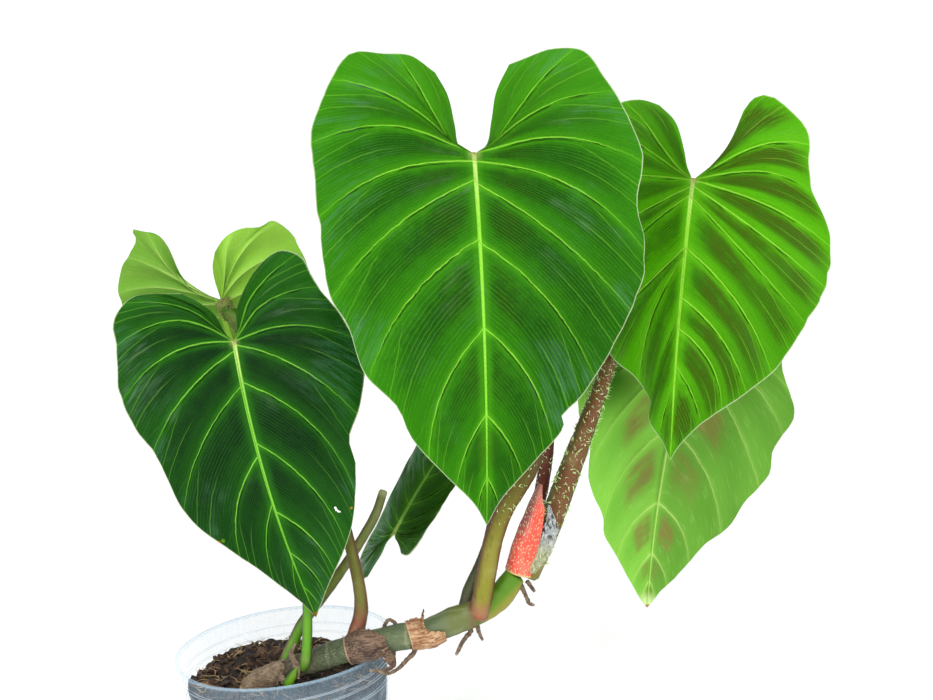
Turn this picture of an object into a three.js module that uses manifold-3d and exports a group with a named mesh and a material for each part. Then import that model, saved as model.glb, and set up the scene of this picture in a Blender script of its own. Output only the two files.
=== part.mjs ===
// A potted philodendron verrucosum: a creeping stem that leaves its clear plastic pot over the rim,
// six heart-shaped leaves on their stalks, a cut stalk, sheaths, roots and the potting mix.
// Millimetres, +Z up, the origin under the middle of the pot, -Y towards the viewer.
import * as THREE from 'three';
import { mergeVertices } from 'three/addons/utils/BufferGeometryUtils.js';
import Module from 'manifold-3d';

const wasm = await Module();
wasm.setup();

// Driving dimensions
const POT_HEIGHT = 105;
const POT_RIM_RADIUS = 60;
const POT_BASE_RADIUS = 45;
const POT_WALL = 1.2;
const POT_FACETS = 40;
const RIM_LIP = 1.6;
const RIDGE_DEPTHS = [9, 14, 21];
const RIDGE_HEIGHT = 0.7;
const RIDGE_WIDTH = 1.2;
const DRAIN_COUNT = 6;
const DRAIN_RADIUS = 4;
const DRAIN_CIRCLE = 28;
const DRAIN_FACETS = 12;

const SOIL_LEVEL = 87;
const SOIL_UNEVEN = 1.8;
const SOIL_RINGS = 4;
const CHIP_COUNT = 22;
const CHIP_SIZE = [4, 9];
const CHIP_THICKNESS = 2.6;

const GAP = 0.3;
const BLADE_THICKNESS = 1.0;
const MIDRIB_DEPTH = 1.5;
const VEIN_DEPTH = 0.5;
const SHEATH_THICKNESS = 0.8;
const JOINT_RADIUS = 7;
const JOINT_HEIGHT = 12;
const WELD = 0.0005;

const STALK_SIDES = 8;
const STEM_SIDES = 10;
const ROOT_SIDES = 6;
const FULL_TURN = 2 * Math.PI;

const plant = new THREE.Group();

// Small helpers

const vec = (point) => new THREE.Vector3(...point);

const mix = (a, b, share) => a + (b - a) * share;

// Value at a share of the way along a list of evenly spaced values
function along(values, share) {
  const place = THREE.MathUtils.clamp(share, 0, 1) * (values.length - 1);
  const index = Math.min(Math.floor(place), values.length - 2);
  return mix(values[index], values[index + 1], place - index);
}

// Seeded random numbers from 0 to 1
function seeded(seed) {
  let state = seed;
  return () => {
    state = (state * 16807) % 2147483647;
    return state / 2147483647;
  };
}

// A geometry's closed solid, with coincident corners merged and empty triangles dropped
function solid(geometry) {
  const plain = geometry.clone();
  plain.deleteAttribute('normal');
  plain.deleteAttribute('uv');
  const welded = mergeVertices(plain, WELD);
  const corners = welded.index.array;
  const kept = [];
  for (let i = 0; i < corners.length; i += 3) {
    const [a, b, c] = corners.slice(i, i + 3);
    if (a !== b && b !== c && c !== a) {
      kept.push(a, b, c);
    }
  }
  return new wasm.Manifold(new wasm.Mesh({
    numProp: 3,
    vertProperties: new Float32Array(welded.attributes.position.array),
    triVerts: new Uint32Array(kept),
  }));
}

function largestPiece(body) {
  const pieces = body.decompose();
  return pieces.reduce((best, piece) => (piece.volume() > best.volume() ? piece : best));
}

// A piece with room cut for its neighbours, which are given a gap larger than they are
function fitted(body, neighbours) {
  return largestPiece(neighbours.reduce((rest, neighbour) => rest.subtract(neighbour), body));
}

function addPiece(name, body, finish) {
  const mesh = body.getMesh();
  const positions = new Float32Array(mesh.numVert * 3);
  for (let i = 0; i < mesh.numVert; i += 1) {
    positions.set(mesh.vertProperties.subarray(i * mesh.numProp, i * mesh.numProp + 3), i * 3);
  }
  const geometry = new THREE.BufferGeometry();
  geometry.setAttribute('position', new THREE.BufferAttribute(positions, 3));
  geometry.setIndex(new THREE.BufferAttribute(new Uint32Array(mesh.triVerts), 1));
  geometry.computeVertexNormals();
  const piece = new THREE.Mesh(geometry, new THREE.MeshStandardMaterial(finish));
  piece.name = name;
  plant.add(piece);
}

// A rod of round section bent along a smooth route, closed at both ends.
// radii are evenly spaced along its length, and extra makes it that much fatter.
function limb({ route, radii, sides = STALK_SIDES, steps = 12 }, extra = 0) {
  const curve = new THREE.CatmullRomCurve3(route.map(vec), false, 'centripetal');
  const frames = curve.computeFrenetFrames(steps);
  const rod = new THREE.CylinderGeometry(1, 1, 1, sides, steps);
  const place = rod.attributes.position;
  for (let i = 0; i < place.count; i += 1) {
    const share = place.getY(i) + 0.5;
    const step = Math.round(share * steps);
    const radius = along(radii, share) + extra;
    const point = curve.getPointAt(share)
      .addScaledVector(frames.normals[step], place.getX(i) * radius)
      .addScaledVector(frames.binormals[step], -place.getZ(i) * radius);
    place.setXYZ(i, ...point);
  }
  return solid(rod);
}

// A closed sheet from a grid with x from -1 to 1 and y from 0 to 1, whose two faces are
// alike: upper and lower give the points of each face, and a wall joins them all round
function sheet(columns, rows, upper, lower) {
  const grid = new THREE.PlaneGeometry(2, 1, columns, rows);
  const place = grid.attributes.position;
  const top = [];
  const bottom = [];
  for (let i = 0; i < place.count; i += 1) {
    const x = place.getX(i);
    const y = 0.5 - place.getY(i);
    top.push(...upper(x, y));
    bottom.push(...lower(x, y));
  }
  const faces = Array.from(grid.index.array);
  const size = place.count;
  const triangles = [...faces];
  for (let i = 0; i < faces.length; i += 3) {
    triangles.push(faces[i] + size, faces[i + 2] + size, faces[i + 1] + size);
  }
  const across = columns + 1;
  const border = [];
  for (let i = 0; i < columns; i += 1) {
    border.push([i + 1, i]);
    border.push([rows * across + i, rows * across + i + 1]);
  }
  for (let i = 0; i < rows; i += 1) {
    border.push([i * across, (i + 1) * across]);
    border.push([(i + 1) * across + columns, i * across + columns]);
  }
  for (const [a, b] of border) {
    triangles.push(b, a, a + size);
    triangles.push(b, a + size, b + size);
  }
  const skin = new THREE.BufferGeometry();
  skin.setAttribute('position', new THREE.Float32BufferAttribute([...top, ...bottom], 3));
  skin.setIndex(triangles);
  return solid(skin);
}

// Leaves

// Where each vein leaves the midrib and meets the margin, as shares of their lengths, and how far
// it bows towards the lobes as a share of its own length. They run from the lobe to the tip, and
// the notch's edge and the tip itself close the list.
const NOTCH_EDGE = [0, 0, 0];
const TIP = [1, 1, 0];
const PLAIN_VEINS = [[0, 0.07, -0.03], [0, 0.2, 0.08], [0, 0.31, 0.13], [0.02, 0.43, 0.12],
  [0.08, 0.56, 0.08], [0.24, 0.7, 0.09], [0.47, 0.85, 0.1], [0.7, 0.92, 0.07], [0.87, 0.97, 0.05]];
const LOW_VEINS = [[0, 0.07, -0.03], [0, 0.2, 0.08], [0, 0.33, 0.13], [0.01, 0.45, 0.12],
  [0.03, 0.6, 0.06], [0.32, 0.75, 0.1], [0.61, 0.855, 0.12], [0.8, 0.93, 0.07], [0.9, 0.975, 0.05]];
const CELLS = PLAIN_VEINS.length + 1;
const ROW_STOPS = [0, 0.5, 1, 1.33, 1.67, 2, 2.33, 2.67, 3, 3.5, 4, 4.5, 5, 5.5, 6, 6.5, 7, 7.5, 8, 9, 10];
const COLUMN_STOPS = [0, 0.06, 0.2, 0.45, 0.7, 0.88, 1];
const NOTCH_REACH = 5;
const WAVES = 5;
const CALM_CHORD = 30;

// Each leaf hangs from base to tip, with its upper face turned to face. Its halves are named as
// seen on the upper face with the tip down. Their outlines are [across, along] from the base:
// notch up to the top of the lobe, then margin round to the tip.
const LEAVES = {
  leaf_big: {
    base: [130.5, -45, 364],
    tip: [116.8, -82, 186],
    face: [0, -1, 0.35],
    arch: 9,
    fold: { left: 0.06, right: 0.02 },
    droop: { left: 7, right: 7 },
    wave: 1.6,
    quilt: 2.2,
    bend: 2,
    color: '#3f9a1c',
    left: {
      veins: [[0, 0.07, -0.03], [0, 0.2, 0.09], [0, 0.31, 0.15], [0.02, 0.43, 0.12],
        [0.07, 0.56, 0.08], [0.23, 0.7, 0.1], [0.47, 0.86, 0.1], [0.7, 0.92, 0.06],
        [0.87, 0.97, 0.05]],
      notch: [[7, -4], [9, -15], [12, -30], [18, -42]],
      margin: [[30, -51], [44, -53], [60, -54], [71, -38], [79, -15], [78, 12], [75, 50], [72, 70],
        [64, 84], [57, 106], [41, 123], [36, 136], [21, 155], [6, 171]],
    },
    right: {
      veins: [[0, 0.11, 0.01], [0, 0.21, 0.1], [0, 0.335, 0.13], [0.02, 0.48, 0.12],
        [0.08, 0.58, 0.05], [0.24, 0.7, 0.08], [0.47, 0.83, 0.1], [0.7, 0.9, 0.07],
        [0.87, 0.96, 0.05]],
      notch: [[6, -4], [9, -16], [12, -31], [19, -45]],
      margin: [[28, -48], [40, -52], [56, -51], [65, -39], [75, -20], [82, 3], [79, 28], [82, 47],
        [76, 73], [64, 96], [49, 119], [38, 130], [39, 134], [26, 150], [8, 169]],
    },
  },
  leaf_front: {
    base: [-0.5, -30, 281],
    tip: [24.5, -50, 137],
    face: [0, -1, 0.3],
    arch: 7,
    fold: { left: 0.05, right: 0 },
    droop: { left: 7, right: 8 },
    wave: 1.4,
    quilt: 2,
    bend: -4,
    color: '#0f4f22',
    left: {
      veins: [[0, 0.06, 0.05], [0, 0.13, 0.1], [0, 0.23, 0.18], [0, 0.35, 0.15], [0.03, 0.48, 0.08],
        [0.15, 0.625, 0.07], [0.4, 0.785, 0.11], [0.57, 0.875, 0.09], [0.78, 0.95, 0.06]],
      notch: [[3, -5], [6, -16], [13, -25], [20, -31]],
      margin: [[27, -33], [44, -36], [55, -29], [60, -11], [63, 11], [60, 31], [53, 47], [51, 62],
        [49, 75], [42, 88], [23, 112], [7, 134]],
    },
    right: {
      veins: [[0, 0.115, 0.07], [0, 0.205, 0.13], [0, 0.345, 0.12], [0.01, 0.52, 0.1],
        [0.14, 0.7, 0.13], [0.35, 0.82, 0.1], [0.6, 0.885, 0.09], [0.75, 0.94, 0.07],
        [0.88, 0.975, 0.05]],
      notch: [[3, -5], [5, -14], [11, -23], [19, -31]],
      margin: [[27, -36], [35, -38], [43, -33], [48, -19], [57, 6], [60, 27], [54, 46], [42, 64],
        [42, 77], [36, 96], [28, 112], [11, 133]],
    },
  },
  leaf_right: {
    base: [240.4, -15, 335.3],
    tip: [213.1, -45, 197.7],
    face: [0, -1, 0.25],
    arch: 7,
    fold: { left: -0.7, right: 0.05 },
    droop: { left: 2, right: 6 },
    wave: 2.0,
    quilt: 2.2,
    bend: -2,
    color: '#6aa52a',
    left: {
      veins: [[0, 0.08, -0.05], [0, 0.16, 0], [0, 0.29, 0.03], [0.02, 0.44, 0.01],
        [0.05, 0.54, 0.04], [0.24, 0.65, 0], [0.27, 0.8, 0.07], [0.48, 0.87, 0.04],
        [0.72, 0.94, 0.04]],
      notch: [[3, -7], [5, -16], [10, -31], [18, -40]],
      margin: [[28, -43], [39, -41], [47, -25], [49, 4], [48, 35], [42, 69], [33, 93], [20, 103],
        [12, 114], [12, 124], [4, 135]],
    },
    right: {
      veins: [[0, 0.21, 0.17], [0, 0.31, 0.16], [0, 0.43, 0.07], [0.02, 0.515, 0.02],
        [0.06, 0.6, 0.01], [0.245, 0.725, 0.08], [0.42, 0.79, 0.09], [0.53, 0.85, 0.13],
        [0.66, 0.9, 0.05]],
      notch: [[8, -5], [15, -14], [20, -27], [24, -39]],
      margin: [[29, -46], [36, -48], [46, -42], [58, -29], [60, -11], [62, 2], [70, 19], [73, 30],
        [71, 49], [59, 75], [49, 92], [30, 110], [14, 123], [3, 137]],
    },
  },
  leaf_low: {
    base: [236.9, 25, 240.8],
    tip: [202.3, 42, 87.8],
    face: [0, 1, 0.2],
    arch: 8,
    fold: { left: 0.0, right: 0.05 },
    droop: { left: 6, right: 5 },
    wave: 1.6,
    quilt: 1.8,
    bend: 2,
    color: '#6fae4a',
    left: {
      veins: LOW_VEINS,
      notch: [[4, -6], [7, -16], [13, -27], [21, -34]],
      margin: [[33, -37], [45, -29], [50, -12], [52, 7], [59, 22], [63, 34], [58, 55], [57, 72],
        [45, 91], [40, 105], [30, 117], [9, 145]],
    },
    right: {
      veins: LOW_VEINS,
      notch: [[4, -6], [7, -16], [13, -27], [21, -34]],
      margin: [[33, -37], [46, -28], [54, -10], [56, 12], [57, 35], [51, 53], [45, 66], [44, 84],
        [38, 96], [32, 107], [29, 119], [21, 130], [4, 154]],
    },
  },
  leaf_rear: {
    base: [-9.5, 14, 295.5],
    tip: [2, 34, 191],
    face: [0, 1, 0.2],
    arch: 3,
    fold: { left: 0, right: 0 },
    droop: { left: 4, right: 4 },
    wave: 1.5,
    quilt: 1.6,
    bend: 0,
    color: '#86c457',
    left: {
      veins: PLAIN_VEINS,
      notch: [[0, -6], [0, -13], [1, -21], [4, -28]],
      margin: [[9, -33], [15, -37], [23, -39], [31, -38], [38, -40], [45, -32], [49, -18], [49, -4],
        [48, 20], [41, 42], [30, 64], [15, 88]],
    },
    right: {
      veins: PLAIN_VEINS,
      notch: [[5, -1], [11, -6], [16, -17], [18, -37]],
      margin: [[22, -45], [28, -49], [33, -52], [32, -46], [39, -37], [45, -31], [50, -20], [50, -6],
        [48, 24], [40, 46], [30, 64], [15, 88]],
    },
  },
  leaf_small: {
    base: [64.5, 42, 148],
    tip: [113, 36, 212],
    face: [-0.6, -0.8, 0.1],
    arch: 4,
    fold: { left: 0.1, right: 0.1 },
    droop: { left: 2, right: 3 },
    wave: 1.0,
    quilt: 1.2,
    bend: 0,
    color: '#1f5f22',
    left: {
      veins: PLAIN_VEINS,
      notch: [[2, -2], [5, -3], [8, -5], [10, -7]],
      margin: [[14, -5], [16, 3], [17, 13], [17, 25], [18, 36], [17, 50], [10, 67]],
    },
    right: {
      veins: PLAIN_VEINS,
      notch: [[2, -8], [2, -17], [3, -27], [4, -35]],
      margin: [[8, -41], [12, -40], [14, -28], [13, -14], [13, 0], [13, 15], [15, 30], [16, 44],
        [15, 57], [8, 70]],
    },
  },
};

// The leaf's own axes: down to the tip, out of the upper face, and to the right across it
function leafAxes(leaf) {
  const base = vec(leaf.base);
  const down = vec(leaf.tip).sub(base);
  const length = down.length();
  down.normalize();
  const face = vec(leaf.face).normalize();
  face.addScaledVector(down, -face.dot(down)).normalize();
  return { base, length, down, face, right: face.clone().cross(down) };
}

const flatCurve = (points) => new THREE.CatmullRomCurve3(
  points.map(([across, down]) => new THREE.Vector3(across, down, 0)), false, 'centripetal');

// A leaf's blade as a function of its grid: x from -1 to 1 across, y from 0 to 1 over the veins
function bladeShape(leaf) {
  const axes = leafAxes(leaf);
  const halves = { left: null, right: null };
  for (const side of Object.keys(halves)) {
    const { notch, margin, veins } = leaf[side];
    const rows = [NOTCH_EDGE, ...veins, TIP];
    halves[side] = {
      starts: rows.map(([start]) => start),
      ends: rows.map(([, end]) => end),
      bows: rows.map(([, , bow]) => bow),
      notch: flatCurve([[0, 0], ...notch]),
      margin: flatCurve([notch[notch.length - 1], ...margin, [0, axes.length]]),
      corner: new THREE.Vector3(...notch[notch.length - 1], 0),
      width: Math.max(...margin.map(([across]) => across)),
    };
  }
  return (x, y) => {
    const side = x < 0 ? 'left' : 'right';
    const half = halves[side];
    const out = Math.abs(x);
    const start = new THREE.Vector3(0, axes.length * along(half.starts, y), 0);
    const end = half.margin.getPointAt(along(half.ends, y));
    const chord = end.clone().sub(start);
    const bow = along(half.bows, y) * 4 * out * (1 - out);
    const flat = start.clone().addScaledVector(chord, out);
    flat.x += bow * chord.y;
    flat.y -= bow * chord.x;
    const calm = Math.min(1, chord.length() / CALM_CHORD);
    const pull = Math.max(0, 1 - (y * CELLS) / NOTCH_REACH);
    const notchPoint = half.notch.getPointAt(out);
    flat.addScaledVector(notchPoint.sub(half.corner.clone().multiplyScalar(out)), pull);
    const share = flat.y / axes.length;
    const inside = THREE.MathUtils.clamp(share, 0, 1);
    const shift = leaf.bend * 4 * inside * (1 - inside) * (1 - out);
    const cell = y * CELLS;
    const lift = leaf.arch * 4 * share * (1 - share)
      + leaf.fold[side] * flat.x
      - leaf.droop[side] * (flat.x / half.width) ** 2
      + calm * leaf.wave * out ** 3 * Math.sin((FULL_TURN * WAVES * cell) / CELLS)
      + calm * leaf.quilt * Math.abs(Math.sin(Math.PI * cell)) * 4 * out * (1 - out);
    const rib = MIDRIB_DEPTH * Math.max(0, 1 - share) * Math.max(0, 1 - out / COLUMN_STOPS[1])
      + calm * VEIN_DEPTH * (1 - Math.abs(Math.sin(Math.PI * cell))) * 4 * out * (1 - out);
    return { axes, across: Math.sign(x) * flat.x + shift, down: flat.y, lift, rib };
  };
}

// A point of the blade, raised out of the upper face or sunk under it
function bladePoint({ axes, across, down, lift }, raise) {
  return axes.base.clone()
    .addScaledVector(axes.right, across)
    .addScaledVector(axes.down, down)
    .addScaledVector(axes.face, lift + raise);
}

// The grid's even columns and rows moved to their stops
const columnAt = (x) => Math.sign(x) * along(COLUMN_STOPS, Math.abs(x));
const rowAt = (y) => along(ROW_STOPS, y) / CELLS;

function blade(leaf, extra = 0) {
  const shape = bladeShape(leaf);
  return sheet(2 * (COLUMN_STOPS.length - 1), ROW_STOPS.length - 1,
    (x, y) => bladePoint(shape(columnAt(x), rowAt(y)), extra),
    (x, y) => {
      const spot = shape(columnAt(x), rowAt(y));
      return bladePoint(spot, -BLADE_THICKNESS - spot.rib - extra);
    });
}

// The room that a leaf needs, with a disc where its stalk ends flat under the blade
function leafRoom(leaf) {
  const { base, face } = leafAxes(leaf);
  const disc = new THREE.CylinderGeometry(JOINT_RADIUS, JOINT_RADIUS, JOINT_HEIGHT, STALK_SIDES);
  disc.applyQuaternion(new THREE.Quaternion().setFromUnitVectors(new THREE.Vector3(0, 1, 0), face));
  const under = BLADE_THICKNESS + MIDRIB_DEPTH + GAP;
  disc.translate(...base.addScaledVector(face, JOINT_HEIGHT / 2 - under));
  return blade(leaf, GAP).add(solid(disc));
}

// Stem, stalks and roots

const STEM = {
  route: [[-27, -6, 62], [-25, -7, 75], [-20, -8, 86], [-9, -12, 92], [4, -18, 98.5],
    [18, -25, 104], [33, -33, 110.5], [45, -40, 115.5], [65.5, -40, 117.5], [80, -38, 118],
    [92, -36, 121], [107, -34, 124.5], [119.5, -32, 131], [129, -31, 141.5]],
  radii: [4.5, 5.2, 5.6, 5.8, 6.0, 6.1, 6.8, 6.3, 6.6, 7.2, 6.6, 7.4, 6.8, 7.0, 5.6],
  sides: STEM_SIDES,
  steps: 36,
};

const STALKS = {
  petiole_big: {
    route: [[107, -36, 122], [110, -38, 132], [114.5, -37, 148], [120, -35, 164.5],
      [126.5, -32, 177], [142, -27, 197], [155, -22, 225], [158, -15, 266],
      [150, -18, 315], [138, -33, 349], [129.5, -42, 357], [130.5, -45, 364]],
    radii: [5.6, 5.2, 4.8, 4.8, 4.4, 3.9, 3.6, 3.4, 3.2, 3.0, 2.8],
    color: '#8a8a32',
  },
  petiole_front: {
    route: [[40, -37, 115], [43, -35.5, 122], [46, -33, 129.5], [47, -30.5, 138], [44.5, -23, 163.5],
      [36, -14, 204], [20, -13, 247], [5, -20, 270], [0.5, -27, 275], [-0.5, -30, 281]],
    radii: [4.4, 3.4, 3.0, 3.0, 2.9, 2.8, 2.8, 2.6],
    color: '#5f6b33',
  },
  petiole_right: {
    route: [[135, -28, 138], [145.5, -24, 156], [154, -20.5, 172], [166, -17, 196], [176, -13, 215.5],
      [186, -9, 235], [206, -3, 275], [231, -3, 318], [239.5, -11, 328], [240.4, -15, 335]],
    radii: [5.6, 6.2, 6.2, 5.7, 4.8, 4.0, 3.8, 3.8, 3.7, 3.6, 3.4],
    color: '#7a5133',
  },
  petiole_low: {
    route: [[127, -26, 139], [136.5, -17, 150.5], [142, -14, 164.5], [147.5, -11, 179.5],
      [151.5, -9, 194.5], [156.5, -5, 215.5], [166, 1, 235], [190, 8, 250], [215, 15, 251],
      [231, 20, 243], [236, 23, 236]],
    radii: [3.7, 3.6, 3.6, 3.6, 3.5, 3.5, 3.4, 3.3, 3.1, 2.9],
    color: '#5f2f26',
  },
  petiole_rear: {
    route: [[11, -23, 100], [13, -30, 104], [15, -33, 111], [19, -33, 137], [21, -26, 171],
      [16, -8, 221], [6, 0, 269.5], [-3, 4, 287], [-7, 11, 290], [-9.5, 14, 295.5]],
    radii: [2.9, 2.7, 2.6, 2.6, 2.6, 2.6, 2.7, 2.9, 3.2, 3.0],
    color: '#7fb83a',
  },
  petiole_small: {
    route: [[99, -31, 122], [104, -26, 134], [110, -20, 142.5], [116, -12, 152], [121, 2, 168],
      [113, 25, 180],
      [96, 44, 176], [76, 52, 160], [68, 47, 152], [64.5, 42, 148]],
    radii: [3.6, 3.4, 3.2, 3.1, 3.0, 2.8, 2.5, 2.2],
    color: '#6f7350',
  },
  petiole_cut: {
    route: [[-2, -15, 96], [4, -12, 106], [12, -10, 119], [31, -2, 138], [46, 8, 154],
      [57, 15, 168], [63, 20, 180]],
    radii: [3.2, 3.0, 3.0, 2.8, 2.7, 2.6, 2.4],
    color: '#7c9a3a',
  },
};

const BUD = {
  route: [[2, -25.5, 92.5], [3.6, -29, 95], [6.5, -30.5, 99.5], [9, -30.5, 103.5]],
  radii: [2.6, 2.8, 2.3, 0.6],
  steps: 6,
};

const ROOTS = {
  root_loop: {
    route: [[57, -38, 121], [58.5, -38, 124.5], [60.5, -38, 126.8], [63, -38, 125.5],
      [64.5, -38, 122.5]],
    radii: [1.0, 1.0, 0.9, 1.0, 1.1],
  },
  root_rim_a: {
    route: [[73, -41, 114], [72, -44, 110], [68, -47, 107.4], [64, -51, 105.2], [60, -55, 104.6],
      [56.5, -58, 105.4], [54, -60, 108]],
    radii: [1.6, 1.4, 1.2, 1.1, 1.0, 0.9, 0.7],
  },
  root_rim_b: {
    route: [[62, -41, 114], [61, -46, 109.5], [61, -49.5, 106.4], [57.5, -52, 105.2],
      [53, -56, 106.6], [49, -58, 108.2]],
    radii: [1.6, 1.4, 1.2, 1.1, 1.0, 0.8],
  },
  root_mid_a: {
    route: [[103, -35, 119], [102, -36, 114.5], [99, -38, 112], [96.5, -38, 108.6],
      [93.3, -38, 103.4]],
    radii: [1.6, 1.4, 1.2, 1.1, 0.8],
  },
  root_mid_b: {
    route: [[106, -36, 119], [106.6, -37, 114.5], [108, -37, 109.5]],
    radii: [1.2, 1.1, 0.8],
  },
  root_tip_a: {
    route: [[131, -31, 136], [132.4, -33, 132], [133.6, -33, 128], [134.5, -32, 125.2],
      [137, -31, 123.4]],
    radii: [1.4, 1.2, 1.1, 1.0, 0.7],
  },
  root_tip_b: {
    route: [[134.5, -30, 137], [136.3, -30, 133.5], [138, -30, 130.5]],
    radii: [1.2, 1.1, 0.8],
  },
};

// Sheaths are curved husks about a centre line: spread is the half angle that they wrap at
// evenly spaced places from foot to tip, and towards is the way the middle of the husk faces
const HUSKS = {
  sheath_red: {
    route: [[131.5, -29, 142], [138, -28, 158], [144.5, -27, 173], [149, -29, 188]],
    radii: [8.4, 8.4, 7.6, 5.2, 2.2],
    spread: [88, 86, 76, 66, 34],
    towards: [-0.75, -0.65, 0],
    columns: 6,
    rows: 8,
    color: '#e5604a',
  },
  sheath_clear: {
    route: [[136.5, -28, 143], [145, -26, 156], [149.5, -25, 167], [149.5, -26, 177]],
    radii: [8.6, 9.0, 8.2, 5.4],
    spread: [14, 34, 32, 8],
    towards: [0.1, -1, 0],
    columns: 4,
    rows: 6,
    color: '#b9bfc4',
  },
  sheath_brown: {
    route: [[38, -36.5, 112.6], [47, -40, 115.6], [60, -40, 117]],
    radii: [8.2, 9.2, 8.0],
    spread: [110, 120, 60],
    towards: [0.1, -0.8, -0.3],
    columns: 8,
    rows: 4,
    color: '#7d4f33',
  },
  sheath_ring: {
    route: [[70, -39.5, 117.6], [80, -38, 118], [88, -37, 120]],
    radii: [8.0, 8.9, 8.4],
    spread: [150, 130, 50],
    towards: [0, -0.8, -0.5],
    columns: 8,
    rows: 4,
    color: '#8a5b3a',
  },
  sheath_strip_a: {
    route: [[9, -27, 96], [9.5, -28.5, 104], [7.5, -27, 110], [10, -24, 114.5]],
    radii: [2.2, 2.6, 2.6, 1.6],
    spread: [60, 70, 60, 40],
    towards: [-1, -0.4, 0],
    columns: 4,
    rows: 8,
    color: '#8c6a3f',
  },
  sheath_strip_b: {
    route: [[3, -24, 90.5], [1, -24, 94], [-1, -22, 99.5]],
    radii: [2.0, 2.4, 1.4],
    spread: [60, 70, 40],
    towards: [-1, -0.4, 0],
    columns: 4,
    rows: 5,
    color: '#8c6a3f',
  },
};

function husk({ route, radii, spread, towards, columns, rows }, extra = 0) {
  const curve = new THREE.CatmullRomCurve3(route.map(vec), false, 'centripetal');
  const line = vec(route[route.length - 1]).sub(vec(route[0])).normalize();
  const front = vec(towards);
  front.addScaledVector(line, -front.dot(line)).normalize();
  const side = line.clone().cross(front);
  const point = (x, y, raise) => {
    const radius = along(radii, y) + raise;
    const turn = (THREE.MathUtils.degToRad(along(spread, y)) + extra / radius) * x;
    return curve.getPointAt(y)
      .addScaledVector(front, Math.cos(turn) * radius)
      .addScaledVector(side, -Math.sin(turn) * radius);
  };
  return sheet(columns, rows,
    (x, y) => point(x, y, extra),
    (x, y) => point(x, y, -SHEATH_THICKNESS - extra));
}

// Pot and potting mix

const potRadiusAt = (z) => mix(POT_BASE_RADIUS, POT_RIM_RADIUS - RIM_LIP, z / POT_HEIGHT);

const profile = (points) => points.map(([radius, z]) => new THREE.Vector2(radius, z));

function makePot() {
  const outside = [[0, 0], [POT_BASE_RADIUS, 0]];
  for (const depth of [...RIDGE_DEPTHS].reverse()) {
    const z = POT_HEIGHT - depth;
    outside.push([potRadiusAt(z - RIDGE_WIDTH), z - RIDGE_WIDTH]);
    outside.push([potRadiusAt(z) + RIDGE_HEIGHT, z - RIDGE_WIDTH / 2]);
    outside.push([potRadiusAt(z), z]);
  }
  const lip = [
    [POT_RIM_RADIUS - RIM_LIP / 2, POT_HEIGHT - 2 * RIM_LIP],
    [POT_RIM_RADIUS, POT_HEIGHT - RIM_LIP],
    [POT_RIM_RADIUS - RIM_LIP / 4, POT_HEIGHT],
    [POT_RIM_RADIUS - RIM_LIP - POT_WALL, POT_HEIGHT],
  ];
  const inside = [[potRadiusAt(POT_WALL) - POT_WALL, POT_WALL], [0, POT_WALL]];
  const shell = new THREE.LatheGeometry(profile([...outside, ...lip, ...inside]), POT_FACETS);
  shell.rotateX(Math.PI / 2);
  let body = solid(shell);
  for (let i = 0; i < DRAIN_COUNT; i += 1) {
    const turn = (FULL_TURN * i) / DRAIN_COUNT;
    const hole = new THREE.CylinderGeometry(DRAIN_RADIUS, DRAIN_RADIUS, 4 * POT_WALL, DRAIN_FACETS);
    hole.rotateX(Math.PI / 2);
    hole.translate(DRAIN_CIRCLE * Math.cos(turn), DRAIN_CIRCLE * Math.sin(turn), 0);
    body = body.subtract(solid(hole));
  }
  return body;
}

const soilHeight = (x, y) => SOIL_LEVEL
  + SOIL_UNEVEN * Math.sin(x / 11 + 0.6) * Math.cos(y / 13)
  - 0.03 * x
  + 0.03 * y;

function makeMix() {
  const floor = POT_WALL + GAP;
  const wall = (z) => potRadiusAt(z) - POT_WALL - 2 * GAP;
  const points = [[0, floor], [wall(floor), floor], [wall(SOIL_LEVEL), SOIL_LEVEL]];
  for (let ring = SOIL_RINGS - 1; ring >= 0; ring -= 1) {
    points.push([(wall(SOIL_LEVEL) * ring) / SOIL_RINGS, SOIL_LEVEL]);
  }
  const lump = new THREE.LatheGeometry(profile(points), POT_FACETS);
  lump.rotateX(Math.PI / 2);
  const place = lump.attributes.position;
  for (let i = 0; i < place.count; i += 1) {
    if (place.getZ(i) > SOIL_LEVEL / 2) {
      place.setZ(i, soilHeight(place.getX(i), place.getY(i)));
    }
  }
  let body = solid(lump);
  const random = seeded(31);
  for (let i = 0; i < CHIP_COUNT; i += 1) {
    const chip = new THREE.BoxGeometry(
      mix(...CHIP_SIZE, random()), mix(...CHIP_SIZE, random()), CHIP_THICKNESS);
    chip.rotateX(mix(-0.5, 0.5, random()));
    chip.rotateY(mix(-0.5, 0.5, random()));
    chip.rotateZ(FULL_TURN * random());
    const turn = FULL_TURN * random();
    const reach = (wall(SOIL_LEVEL) - CHIP_SIZE[1]) * Math.sqrt(random());
    const [x, y] = [reach * Math.cos(turn), reach * Math.sin(turn)];
    chip.translate(x, y, soilHeight(x, y) + CHIP_THICKNESS / 4);
    body = body.add(solid(chip));
  }
  return body;
}

// Assembly: each piece makes room for the ones before it

const stem = limb(STEM);
const stemRoom = limb(STEM, GAP);
addPiece('stem', stem, { color: '#6d7350', roughness: 0.6 });

for (const [name, leaf] of Object.entries(LEAVES)) {
  addPiece(name, blade(leaf), { color: leaf.color, roughness: 0.45, side: THREE.DoubleSide });
}
const leafRooms = Object.values(LEAVES).map(leafRoom);

const stalkRooms = [];
for (const [name, stalk] of Object.entries(STALKS)) {
  const shape = { ...stalk, steps: 2 * stalk.route.length };
  addPiece(name, fitted(limb(shape), [stemRoom, ...leafRooms, ...stalkRooms]), {
    color: stalk.color,
    roughness: 0.55,
  });
  stalkRooms.push(limb(shape, GAP));
}

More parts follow.
